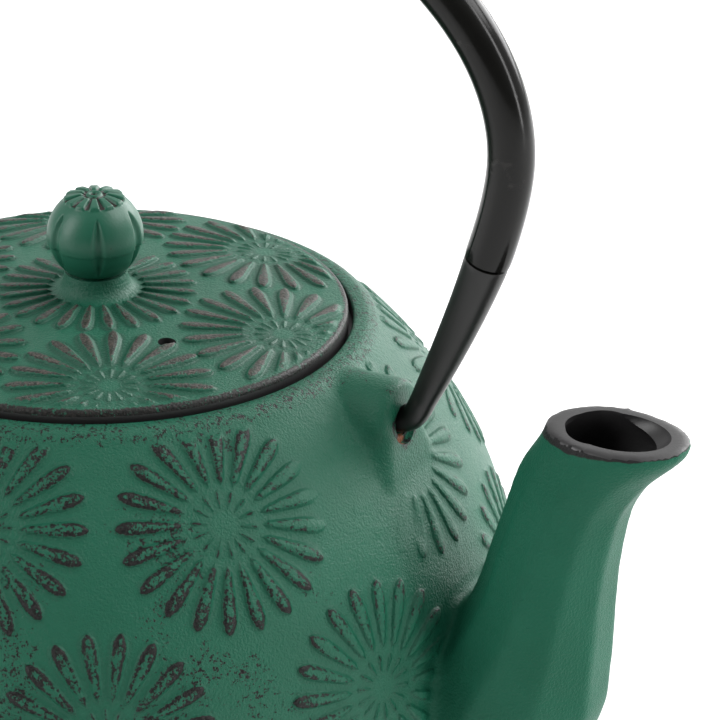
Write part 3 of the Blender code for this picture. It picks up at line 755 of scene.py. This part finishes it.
def scoop():
    """The pouring lip's shallow hollow, in front of the bore."""
    deselect()
    mouth = spout_sections(SPOUT_WALL, 2, 1)[0]
    front = mouth[0] + mouth[2] - 0.0004
    bpy.ops.mesh.primitive_uv_sphere_add(segments=64, ring_count=48, radius=1.0,
                                         location=(front - SCOOP_REACH, 0, mouth[1] + SCOOP_ABOVE))
    thing = bpy.context.object
    thing.scale = (SCOOP_REACH, mouth[3] * 1.02, SCOOP_DROP)
    thing.rotation_euler = (0, SCOOP_TURN, 0)
    apply_place(thing)
    return thing


def ear_pieces(side):
    root = RIM_R - 0.0020
    lug = round_bar("lug", EAR_R, (side * root, 0, PIVOT_Z), (side * EAR_REACH, 0, PIVOT_Z))
    apply_modifier(lug, "edge", 'BEVEL', width=LUG_EDGE, segments=3, limit_method='ANGLE')
    return [lug, ear_foot(side)]


def ear_foot(side):
    """The buttress under an ear: a block that flares down into the shoulder."""
    deselect()
    bpy.ops.mesh.primitive_cube_add(size=1.0)
    foot = bpy.context.object
    foot.name = "foot"
    deep = EAR_REACH - EAR_FOOT_ROOT
    foot.scale = (deep, 2 * EAR_FOOT_TOP, EAR_FOOT)
    foot.location = (EAR_FOOT_ROOT + deep / 2 - 0.0002, 0, PIVOT_Z - EAR_FOOT / 2 + 0.0015)
    apply_place(foot)
    low = coordinates(foot)[:, 2] < PIVOT_Z - EAR_FOOT / 2
    middle = (EAR_FOOT_ROOT, 0, PIVOT_Z)
    select_vertices(foot, low)
    bpy.ops.transform.resize(value=(1, EAR_FOOT_LOW / EAR_FOOT_TOP, 1), center_override=middle)
    bpy.ops.transform.translate(value=(EAR_FOOT_LEAN, 0, 0))
    bpy.ops.object.mode_set(mode='OBJECT')
    apply_modifier(foot, "edge", 'BEVEL', width=FOOT_EDGE, segments=3, limit_method='ANGLE')
    if side < 0:
        foot.rotation_euler = (0, 0, math.pi)
        apply_place(foot)
    return foot


def body_flowers():
    middles = []
    normals = []
    for height, stagger in ROWS:
        radius = float(body_radius(height))
        step = 0.0005
        lean = (float(body_radius(height - step)) - float(body_radius(height + step))) / (2 * step)
        for k in range(FLOWERS_PER_ROW):
            angle = (k + stagger) * math.tau / FLOWERS_PER_ROW
            middles.append((radius * math.cos(angle), radius * math.sin(angle), height))
            normal = Vector((math.cos(angle), math.sin(angle), lean)).normalized()
            normals.append(tuple(normal))
    return np.array(middles), np.array(normals)


def spout_at(height):
    """At some heights: the share of the way up, and the spout's middle, half depth and half width."""
    rows = np.array(SPOUT)[::-1]
    share = np.clip((height - BELLY_Z) / (RIM_Z - BELLY_Z), rows[0, 0], rows[-1, 0])
    reach, depth, width = (np.interp(share, rows[:, 0], rows[:, column]) for column in (1, 2, 3))
    return share, BELLY_R + reach, depth, width


def spout_gap(co):
    """Rough distance outside the spout's skin, in metres, below zero inside it."""
    x, y, z = co.T
    _, middle, depth, width = spout_at(z)
    scaled = np.hypot((x - middle) / depth, y / width)
    beyond = np.maximum(0.0, BELLY_Z + SPOUT[-1][0] * (RIM_Z - BELLY_Z) - z)
    return np.hypot((scaled - 1.0) * np.minimum(depth, width), beyond) * np.sign(scaled - 1.0 + beyond)


def ear_gap(co):
    """Rough distance outside the two ears, seen along X."""
    x, y, z = co.T
    below = np.maximum(0.0, PIVOT_Z - z)
    near = np.hypot(y, np.maximum(0.0, below - EAR_FOOT + 0.0110)
                    + np.maximum(0.0, z - PIVOT_Z))
    reach = EAR_R + 0.12 * np.minimum(below, EAR_FOOT)
    return np.maximum(near - reach, (RIM_R - 0.004 - np.abs(x)))


def relief_fade(co):
    """1 where the pot's own round wall carries flowers, fading to 0 at its rim, spout and ears."""
    x, y, z = co.T
    radius = np.hypot(x, y)
    on_wall = ease((0.0012 - np.abs(radius - body_radius(z))) / 0.0005)
    rim = ease((RIM_Z - RIM_DROP - 0.0001 - z) / 0.0007)
    base = ease((z - 0.0050) / 0.0030)
    turn = np.degrees(np.arctan2(y, x))
    plain = ease((turn + 27) / 6) * ease((-2 - turn) / 4) * ease((z - 0.077) / 0.004)
    rim *= 1 - 0.9 * plain
    return on_wall * rim * base * ease((spout_gap(co) - 0.0005) / 0.0025) * ease(ear_gap(co) / 0.0010)


def pot_edges(co):
    """1 on the edges that get knocked: the ring round the mouth and the outside of the ears."""
    x, y, z = co.T
    radius = np.hypot(x, y)
    ring = ease((z - RIM_Z + 0.0034) / 0.0020) * ease((RIM_R + 0.0025 - radius) / 0.0015)
    axis = np.hypot(y, z - PIVOT_Z)
    ear = ease((axis - EAR_R + 0.0022) / 0.0016) * ease((z - PIVOT_Z + 0.004) / 0.003)
    ear *= ease((np.abs(x) - EAR_REACH + 0.0042) / 0.0030)
    ear *= ease((EAR_REACH + 0.0020 - np.abs(x)) / 0.0010)
    beyond = np.abs(x) - EAR_REACH
    hole = ease((EAR_FACE_R + 0.0004 - axis) / 0.0003) * ease((beyond + 0.0010) / 0.0006)
    hole *= ease((0.0040 - beyond) / 0.0010)
    turn = np.degrees(np.arctan2(y, x))
    spared = ease((turn + 40) / 24) * ease((80 - turn) / 24) * (z < RIM_Z - RIM_DROP)
    ear *= ease((z - PIVOT_Z - 0.001) / 0.004)
    return (np.maximum(0.62 * ring, 0.55 * ear) - 0.50 * spared) * (1 - hole) + 0.9 * hole


def make_pot():
    outline = [(0.0, RIM_Z), (MOUTH_R, RIM_Z), (RIM_R - 0.0022, RIM_Z - 0.0002),
               (RIM_R - 0.0005, RIM_Z - 0.0012)] + outer_outline() + [(0.0, 0.0)]
    pot = revolve("pot_casting", outline, 160)
    spout = loft("spout", spout_sections(0.0, len(SPOUT), 4), 96)
    boolean(pot, [spout] + ear_pieces(1) + ear_pieces(-1), 'UNION')
    apply_modifier(pot, "skin", 'REMESH', mode='VOXEL', voxel_size=SKIN_VOXEL)
    co = coordinates(pot)
    on_body = np.abs(np.hypot(co[:, 0], co[:, 1]) - body_radius(co[:, 2]))
    near_spout = ease(1.3 - np.abs(spout_gap(co)) / 0.005) * ease(1.3 - on_body / 0.006)
    near_ear = ease(1.3 - np.abs(ear_gap(co)) / 0.004) * ease(1.3 - on_body / 0.005)
    weigh(pot, "valleys", np.maximum(near_spout * (co[:, 0] > 0),
                                     0.10 * near_ear * (co[:, 2] < RIM_Z - 0.004)))
    apply_modifier(pot, "valleys", 'SMOOTH', factor=0.5, iterations=14, vertex_group="valleys")
    pot.vertex_groups.clear()
    apply_modifier(pot, "skin", 'SMOOTH', factor=0.5, iterations=2)
    middles, normals = body_flowers()
    co = coordinates(pot)
    _, offsets = nearest_flower(co, middles, normals)
    petals = np.maximum(petal_ring(offsets, BODY_PETALS), 0.7 * petal_ring(offsets, BODY_FLORETS))
    raise_petals(pot, PETAL_RISE, petals * relief_fade(co))
    apply_modifier(pot, "fewer", 'DECIMATE', ratio=SKIN_SHARE)
    cavity = revolve("cavity_cutter", cavity_outline(), 160)
    holes = [round_bar("hole", PIN_HOLE_R, (side * PIN_HOLE_END, 0, PIVOT_Z),
                       (side * (EAR_REACH + WALL), 0, PIVOT_Z)) for side in (1, -1)]
    faces = [round_bar("face", EAR_FACE_R, (side * (EAR_REACH + EAR_FACE_RISE), 0, PIVOT_Z),
                       (side * (EAR_REACH + WALL), 0, PIVOT_Z)) for side in (1, -1)]
    boolean(pot, [cavity, bore(), scoop()] + holes + faces, 'DIFFERENCE')
    map_flowers(pot, middles, normals, relief_fade, pot_edges)
    finish(pot, (BODY_ENAMEL, BLACK_INSIDE, SPOUT_ENAMEL), "pot", "pot_body")
    paint_pot(pot)


def paint_pot(pot):
    """The cavity, the bore and the spout's rim take the black coat, and the spout its own enamel."""
    centres = face_vectors(pot, "center")
    normals = face_vectors(pot, "normal")
    x, y, z = centres.T
    radius = np.hypot(x, y)
    inside = (radius < body_radius(z) - 0.0015) & (z < RIM_Z - 0.0005)
    inside &= (z > WALL - 0.0005)
    inside &= (radius < MOUTH_R + 0.0003) | (z < RIM_Z - 0.0120)
    share, middle, depth, width = spout_at(z)
    core = np.hypot((x - middle) / (depth - 0.4 * SPOUT_WALL),
                    y / (width - 0.4 * SPOUT_WALL)) < 1.0
    spout_inside = core & (radius > body_radius(z) - 0.006) & (share > -0.25)
    mouth = (x > BELLY_R + 0.012) & (normals[:, 2] > 0.55) & (share > 0.93)
    black = inside | spout_inside | mouth
    spout = (spout_gap(centres) < 0.0040) & (x > 0.7 * BELLY_R)
    slots = np.where(black, 1, np.where(spout, 2, 0))
    pot.data.polygons.foreach_set("material_index", slots.astype(np.int32))
    pot.data.update()


# --- the lid -------------------------------------------------------------------------------------
DOME_RISE = 0.0056
EDGE_RISE = 0.0018
LID_WALL = 0.0040
COLLAR_R = 0.0062
COLLAR_FLARE = 0.0026
SKIRT_R = 0.0380
SKIRT_WALL = 0.0020
WASHER_R = 0.0058
RIVET_HOLE_R = 0.0028
VENT_R = 0.0017
VENT_REACH = 0.0265
VENT_ANGLE = math.radians(-31)
LID_RING_R = 0.0389           # lid's middle to the middles of the six flowers round it
LID_RING_TURN = math.radians(3)


def dome(radius):
    return RIM_Z + EDGE_RISE + (DOME_RISE - EDGE_RISE) * (1 - (radius / LID_R) ** 2)


def lid_outline():
    foot = COLLAR_R + COLLAR_FLARE
    collar = bezier((COLLAR_R - 0.0003, COLLAR_Z), (COLLAR_R + 0.0001, dome(foot) + 0.0014),
                    (COLLAR_R + 0.0006, dome(foot) + 0.0002), (foot, dome(foot)), 12)
    top = [(radius, dome(radius)) for radius in np.linspace(foot, LID_R - 0.0010, 76)]
    edge = bezier(top[-1], (LID_R - 0.0003, dome(LID_R) + 0.0001), (LID_R, dome(LID_R) - 0.0002),
                  (LID_R, dome(LID_R) - 0.0010), 6)
    under = LID_LOW.z + 0.0065
    skirt_in = SKIRT_R - SKIRT_WALL
    side = [(LID_R, under + 0.0004), (LID_R - 0.0004, under), (SKIRT_R, under), (SKIRT_R, LID_LOW.z),
            (skirt_in, LID_LOW.z), (skirt_in, dome(skirt_in) - LID_WALL)]
    ceiling = RIM_Z + DOME_RISE - LID_WALL
    hub = [(WASHER_R + LID_WALL, ceiling), (RIVET_HOLE_R, ceiling), (RIVET_HOLE_R, COLLAR_Z)]
    return collar + top[1:] + edge[1:] + side + hub


def lid_flowers():
    angles = LID_RING_TURN + np.arange(6) * math.tau / 6
    middles = [(LID_RING_R * math.cos(a), LID_RING_R * math.sin(a), dome(LID_RING_R)) for a in angles]
    middles = np.array([(0.0, 0.0, dome(0.0))] + middles)
    return middles, np.tile((0.0, 0.0, 1.0), (7, 1))


def lid_fade(co):
    x, y, z = co.T
    radius = np.hypot(x, y)
    top = ease((0.0012 - np.abs(z - dome(radius))) / 0.0004)
    return top * ease((radius - COLLAR_R - 0.0016) / 0.0015) * ease((LID_R - 0.0012 - radius) / 0.0012)


def lid_edges(co):
    """1 on the lid's outer edge, which rubs on fingers and cloths."""
    x, y, z = co.T
    radius = np.hypot(x, y)
    return ease((radius - LID_R + 0.0015) / 0.0009) * ease((z - RIM_Z + 0.0010) / 0.0010)


def make_lid():
    lid = revolve("lid_casting", lid_outline(), 400, ring=True)
    x = VENT_REACH * math.cos(VENT_ANGLE)
    y = VENT_REACH * math.sin(VENT_ANGLE)
    middles, normals = lid_flowers()
    co = coordinates(lid)
    nearest, offsets = nearest_flower(co, middles, normals)
    hub = nearest == 0
    petals = np.where(hub, petal_ring(offsets, HUB_PETALS),
                      np.maximum(petal_ring(offsets, LID_PETALS),
                                 0.7 * petal_ring(offsets, LID_FLORETS)))
    raise_petals(lid, PETAL_RISE * 1.25, petals * lid_fade(co))
    vent = round_bar("vent", VENT_R, (x, y, RIM_Z - 0.004), (x, y, COLLAR_Z), sides=32)
    boolean(lid, [vent], 'DIFFERENCE')
    map_flowers(lid, middles, normals, lid_fade, lid_edges)
    finish(lid, (LID_ENAMEL, HUB_ENAMEL, BLACK_INSIDE), "lid", "lid")
    centres = face_vectors(lid, "center")
    radius = np.hypot(centres[:, 0], centres[:, 1])
    nearest, _ = nearest_flower(centres, middles, normals)
    slots = np.where(nearest == 0, 1, 0)
    slots[centres[:, 2] < dome(radius) - 0.0015] = 2
    slots[(radius < COLLAR_R + 0.001) & (centres[:, 2] > dome(0))] = 1
    lid.data.polygons.foreach_set("material_index", slots.astype(np.int32))


# --- the knob ------------------------------------------------------------------------------------
KNOB_SEAT_R = 0.0060
KNOB_BORE = 0.0103            # depth of the rivet's hole
ROSETTE_R = 0.0057
ROSETTE_PETALS = 12
FLUTES = 6
FLUTE_DEPTH = 0.00075
FLUTE_WIDTH = 0.17            # half width at the middle, in radians round the knob


def make_knob():
    radius = KNOB_HIGH.x
    middle = KNOB_LOW.z + math.sqrt(radius ** 2 - KNOB_SEAT_R ** 2)
    crown = KNOB_HIGH.z
    high = math.acos(ROSETTE_R / radius)
    low = -math.acos(KNOB_SEAT_R / radius)
    ball = [(radius * math.cos(a), middle + radius * math.sin(a)) for a in np.linspace(high, low, 90)]
    shelf = middle + math.sqrt(radius ** 2 - ROSETTE_R ** 2)
    cap = [(r, crown - (crown - shelf) * (r / ROSETTE_R) ** 2) for r in np.linspace(0, ROSETTE_R, 24)]
    bore_top = KNOB_LOW.z + KNOB_BORE
    outline = cap + ball[1:] + [(KNOB_SEAT_R - 0.0006, KNOB_LOW.z), (RIVET_HOLE_R, KNOB_LOW.z),
                                (RIVET_HOLE_R, bore_top), (0.0, bore_top)]
    knob = revolve("knob_ball", outline, 240)
    co = coordinates(knob)
    reach = np.hypot(co[:, 0], co[:, 1])
    turn = np.arctan2(co[:, 1], co[:, 0])
    outer_skin = np.abs(np.hypot(reach, co[:, 2] - middle) - radius) < 0.0002
    shift = groove_depth(turn, (co[:, 2] - middle) / radius, outer_skin)
    shift -= 0.00030 * ease((middle - 0.0012 - co[:, 2]) / 0.00016) * outer_skin
    on_cap = (co[:, 2] > shelf - 0.0006) & (reach < ROSETTE_R + 0.0008)
    raised = rosette_height(reach / ROSETTE_R, turn)
    shift += on_cap * raised
    # Painted shade in the rosette's hollows: a weight that the knob's enamel darkens by.
    hollows = on_cap * (reach < ROSETTE_R * 0.97) * ease((0.00030 - raised) / 0.0002)
    add_attribute(knob, "hollows", hollows)
    away = co - np.array((0.0, 0.0, middle))
    away /= np.maximum(np.linalg.norm(away, axis=1, keepdims=True), 1e-9)
    knob.data.vertices.foreach_set("co", (co + away * shift[:, None]).ravel())
    knob.data.update()
    finish(knob, (KNOB_ENAMEL,), "knob", "lid_knob")


def groove_depth(turn, height, skin):
    """Upright lens-shaped flutes in the ball."""
    part = turn * FLUTES / math.tau - 0.06
    aside = np.abs(part - np.round(part)) * math.tau / FLUTES
    width = FLUTE_WIDTH * np.sqrt(np.clip(1 - (height / 0.66) ** 2, 0, 1))
    return -FLUTE_DEPTH * ease((width - aside) / 0.13) * skin


def rosette_height(share, turn):
    """Rounded petals round a small raised boss with a pit in it."""
    part = turn * ROSETTE_PETALS / math.tau
    aside = np.abs(part - np.round(part)) * 2
    petal = ease((0.88 - aside) / 0.45) * ease((share - 0.30) / 0.15) * ease((1.04 - share) / 0.12)
    boss = ease((0.30 - share) / 0.08) * 0.9 - ease((0.16 - share) / 0.08) * 1.5
    return 0.00060 * petal + 0.00055 * boss


# --- the bail ------------------------------------------------------------------------------------
HANDLE_SPAN = 0.0863
SHOULDER = 0.0568
CROWN = 0.0540
LEG_EASE = 0.25
TUBE_R = 0.0044
TUBE_BORE_R = 0.0034
END_R = 0.00425
HOOK_R = 0.0025
PIN_R = 0.0024
HOOK_SETOUT = 0.0044
HOOK_RISE = 0.0052
PIN_LENGTH = 0.0095
SEAM_PLACE = 0.41             # share of the leg, from the widest place down, where the tube ends
SPIGOT_R = 0.0031             # the end's spigot inside the tube
LEG_POINTS = 97
SPIGOT_POINTS = 17
SEAM_POINT = round(SEAM_PLACE * (LEG_POINTS - 1))


def leg():
    """The leg's middle line, from the bail's widest place down to its turn into the ear."""
    top = (HANDLE_SPAN, PIVOT_Z + SHOULDER)
    turn = (EAR_REACH + HOOK_SETOUT, PIVOT_Z + HOOK_RISE)
    lean = np.array((0.42, 0.907)) * LEG_EASE * SHOULDER
    return bezier(top, (top[0], top[1] - LEG_EASE * SHOULDER), (turn[0] + lean[0], turn[1] + lean[1]),
                  turn, LEG_POINTS)


def rod(name, points, radii, sides_per_quarter=6):
    """A curve bevelled round, then made a mesh."""
    curve = bpy.data.curves.new(name, 'CURVE')
    curve.dimensions = '3D'
    curve.bevel_depth = 1.0
    curve.bevel_resolution = sides_per_quarter
    curve.use_fill_caps = True
    spline = curve.splines.new('POLY')
    spline.points.add(len(points) - 1)
    for knot, point, radius in zip(spline.points, points, radii):
        knot.co = (*point, 1.0)
        knot.radius = radius
    thing = bpy.data.objects.new(name, curve)
    bpy.context.scene.collection.objects.link(thing)
    make_active(thing)
    bpy.ops.object.convert(target='MESH')
    thing = bpy.context.object
    bpy.ops.object.mode_set(mode='EDIT')
    bpy.ops.mesh.select_all(action='SELECT')
    bpy.ops.mesh.remove_doubles(threshold=0.000005)
    bpy.ops.mesh.normals_make_consistent(inside=False)
    bpy.ops.object.mode_set(mode='OBJECT')
    return thing


def flat_points(points, side=1):
    return [(side * x, 0.0, z) for x, z in points]


def make_tube():
    upper = leg()[:SEAM_POINT + 1][::-1][::2]
    middle = PIVOT_Z + SHOULDER
    arch = [(HANDLE_SPAN * math.cos(a), middle + CROWN * math.sin(a))
            for a in np.linspace(0.0, math.pi, 121)]
    path = upper[:-1] + arch + [(-x, z) for x, z in upper[:-1][::-1]]
    shrink = [TUBE_R] * len(path)
    for k, share in enumerate((0.985, 0.998)):
        shrink[k] = shrink[-1 - k] = TUBE_R * share
    tube = rod("bail_tube", flat_points(path), shrink, 8)
    start = np.array(path[0]) * 2 - np.array(path[1])
    longer = [tuple(start)] + path + [(-start[0], start[1])]
    boolean(tube, [rod("tube_bore", flat_points(longer), [TUBE_BORE_R] * len(longer))], 'DIFFERENCE')
    finish(tube, (TUBE_PAINT,), "handle", "handle_tube", 40)


def make_end(name, side, node):
    points = leg()
    shoulder = 0.7 * np.array(points[SEAM_POINT]) + 0.3 * np.array(points[SEAM_POINT + 1])
    body = points[SEAM_POINT + 1:]
    path = points[SEAM_POINT - SPIGOT_POINTS:SEAM_POINT] + [tuple(shoulder)] + body
    taper = list(END_R + (HOOK_R - END_R) * np.linspace(0, 1, len(body)))
    taper[0] *= 0.985
    radii = [SPIGOT_R] * (SPIGOT_POINTS + 1) + taper
    turn = points[-1]
    bend = bezier(turn, (turn[0] - 0.25 * HOOK_RISE, turn[1] - 0.55 * HOOK_RISE),
                  (EAR_REACH + 0.55 * HOOK_SETOUT, PIVOT_Z),
                  (EAR_REACH - 0.2 * PIN_LENGTH, PIVOT_Z), 20)
    path += bend[1:]
    radii += list(np.linspace(HOOK_R, PIN_R, 20))[1:]
    tip = EAR_REACH - PIN_LENGTH
    for reach, radius in ((tip + 0.0008, PIN_R), (tip + 0.0002, PIN_R * 0.9), (tip, PIN_R * 0.7)):
        path.append((reach, PIVOT_Z))
        radii.append(radius)
    end = rod(name, flat_points(path, side), radii, 7)
    finish(end, (END_PAINT,), "handle", node, 40)


# --- the basket ----------------------------------------------------------------------------------
BAND = 0.0007                 # thickness of the rim's collar and of the ring round the foot
FLANGE = 0.0006
WIRE = 0.00046
BASKET_FOOT_R = 0.0342
BASKET_LIP = 0.0030           # how far the foot's ring reaches in under the woven floor
WALL_WIRES = 132
FLOOR_WIRES = 44


def weave(thing):
    """Each edge of a grid becomes a wire."""
    apply_modifier(thing, "weave", 'WIREFRAME', thickness=WIRE, use_even_offset=False,
                   use_replace=True)


def make_basket():
    rim_low, rim_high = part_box("infuser_rim")
    wall_low, wall_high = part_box("infuser_wall")
    ring_low, ring_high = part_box("infuser_floor_ring")
    floor_low, floor_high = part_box("infuser_floor")
    collar_out = wall_high.x - 0.0008
    collar_in = collar_out - BAND
    low = rim_high.z - FLANGE
    rim = revolve("basket_rim", [(rim_high.x - 0.0003, rim_high.z), (rim_high.x, rim_high.z - 0.0002),
                                 (rim_high.x, low + 0.0002), (rim_high.x - 0.0002, low),
                                 (collar_out, low), (collar_out, rim_low.z),
                                 (collar_in, rim_low.z), (collar_in, rim_high.z - 0.0004),
                                 (collar_in + 0.0003, rim_high.z)], 128, ring=True)
    foot = BASKET_FOOT_R
    bend = rim_low.z
    heights = np.linspace(wall_high.z - 0.0003, bend, 5)
    side = [(wall_high.x - 0.00025, z) for z in heights]
    side += [(wall_high.x - 0.00025 + (foot - wall_high.x) * t, bend + (ring_high.z - bend) * t)
             for t in np.linspace(0, 1, 36)[1:]]
    side += [(foot - 0.00025, z) for z in np.linspace(ring_high.z, wall_low.z + 0.0003, 5)[1:]]
    wall = revolve("basket_wall", side, WALL_WIRES)
    weave(wall)
    deselect()
    bpy.ops.mesh.primitive_grid_add(x_subdivisions=FLOOR_WIRES, y_subdivisions=FLOOR_WIRES,
                                    size=2 * floor_high.x,
                                    location=(0, 0, (floor_low.z + floor_high.z) / 2))
    disc = bpy.context.object
    disc.name = "basket_floor"
    apply_place(disc)
    far = np.hypot(*coordinates(disc)[:, :2].T) > floor_high.x - 0.0002
    select_vertices(disc, far)
    bpy.ops.mesh.delete(type='VERT')
    bpy.ops.object.mode_set(mode='OBJECT')
    weave(disc)
    lip = foot - 0.0005 - BASKET_LIP
    band_in = foot + 0.0003
    ring = revolve("basket_ring", [(ring_high.x, ring_high.z), (ring_high.x, ring_low.z + 0.0004),
                                   (ring_high.x - 0.0004, ring_low.z), (lip, ring_low.z),
                                   (lip, ring_low.z + BAND), (band_in, ring_low.z + BAND),
                                   (band_in, ring_high.z)], 128, ring=True)
    for piece, node in ((rim, "infuser_rim"), (wall, "infuser_wall"), (disc, "infuser_floor"),
                        (ring, "infuser_floor_ring")):
        finish(piece, (BASKET_STEEL,), "infuser", node, 40)


# --- stage, lights and camera --------------------------------------------------------------------
def make_stage():
    deselect()
    bpy.ops.mesh.primitive_plane_add(size=6.0, location=(0, 0, -0.0002))
    floor = bpy.context.object
    floor.name = "floor"
    material = bpy.data.materials.new("pale_floor")
    material.use_nodes = True
    nodes = Nodes(material.node_tree)
    shader = material.node_tree.nodes["Principled BSDF"]
    place = nodes.add('ShaderNodeTexCoord').outputs["Object"]
    tone = nodes.mix(nodes.noise(place, 3.0), (0.90, 0.90, 0.90, 1), (0.94, 0.94, 0.94, 1))
    nodes.feed(shader.inputs["Base Color"], tone)
    shader.inputs["Roughness"].default_value = 0.8
    floor.data.materials.append(material)


def hang_lamp(name, kind, power, place, target):
    light = bpy.data.lights.new(name, kind)
    light.energy = power
    lamp = bpy.data.objects.new(name, light)
    bpy.context.scene.collection.objects.link(lamp)
    lamp.location = place
    lamp.rotation_euler = (Vector(target) - Vector(place)).to_track_quat('-Z', 'Y').to_euler()
    return light


def make_lights():
    world = bpy.data.worlds.new("studio")
    bpy.context.scene.world = world
    world.use_nodes = True
    n = Nodes(world.node_tree)
    way = n.add('ShaderNodeTexCoord').outputs["Generated"]
    behind = n.add('ShaderNodeVectorMath', {0: way, 1: (-0.30, 0.86, 0.40)}, operation='DOT_PRODUCT')
    glow = n.remap(behind.outputs["Value"], -0.80, 0.70, 0.10, 0.95)
    background = world.node_tree.nodes["Background"]
    background.inputs["Color"].default_value = (1, 1, 1, 1)
    n.feed(background.inputs["Strength"], glow)
    sun = hang_lamp("back_right_sun", 'SUN', 2.1, (0.75, 0.50, 0.95), (0, 0, 0))
    sun.angle = math.radians(35)
    for name, place, size, power in (("back_box", (0.30, 0.90, 0.40), (0.8, 0.5), 9.0),
                                     ("right_box", (0.85, 0.05, 0.42), (0.12, 0.8), 3.4),
                                     ("left_front_box", (-0.70, -0.72, 0.60), (0.35, 0.9), 8.5)):
        box = hang_lamp(name, 'AREA', power, place, (0, 0, 0.08))
        box.shape = 'RECTANGLE'
        box.size, box.size_y = size
    bpy.context.scene.view_settings.view_transform = 'Standard'


AZIMUTH = math.radians(27.0)
ELEVATION = math.radians(24.46)
CAMERA_DISTANCE = 1.041       # from the middle of the pot's mouth
CAMERA_RIGHT = 0.0498
CAMERA_DROP = 0.0086
FOCAL_LENGTH = 275.0


def make_camera():
    back = Vector((math.sin(AZIMUTH) * math.cos(ELEVATION), -math.cos(AZIMUTH) * math.cos(ELEVATION),
                   math.sin(ELEVATION)))
    right = Vector((math.cos(AZIMUTH), math.sin(AZIMUTH), 0.0))
    up = back.cross(right)
    data = bpy.data.cameras.new("camera")
    data.sensor_width = 36.0
    data.lens = FOCAL_LENGTH
    camera = bpy.data.objects.new("camera", data)
    bpy.context.scene.collection.objects.link(camera)
    place = Vector((0, 0, RIM_Z)) + back * CAMERA_DISTANCE + right * CAMERA_RIGHT - up * CAMERA_DROP
    camera.matrix_world = Matrix.Translation(place) @ Matrix((right, up, back)).transposed().to_4x4()
    data.clip_start = 0.05
    bpy.context.scene.camera = camera


make_camera()
make_pot()
make_lid()
make_knob()
make_tube()
make_end("bail_end_front", 1, "handle_end_front")
make_end("bail_end_rear", -1, "handle_end_rear")
make_basket()
for node in ("knob_rivet", "knob_washer"):
    hardware = frame["nodes"][node]
    hardware.data.materials.clear()
    hardware.data.materials.append(RIVET_ZINC)
make_stage()
make_lights()
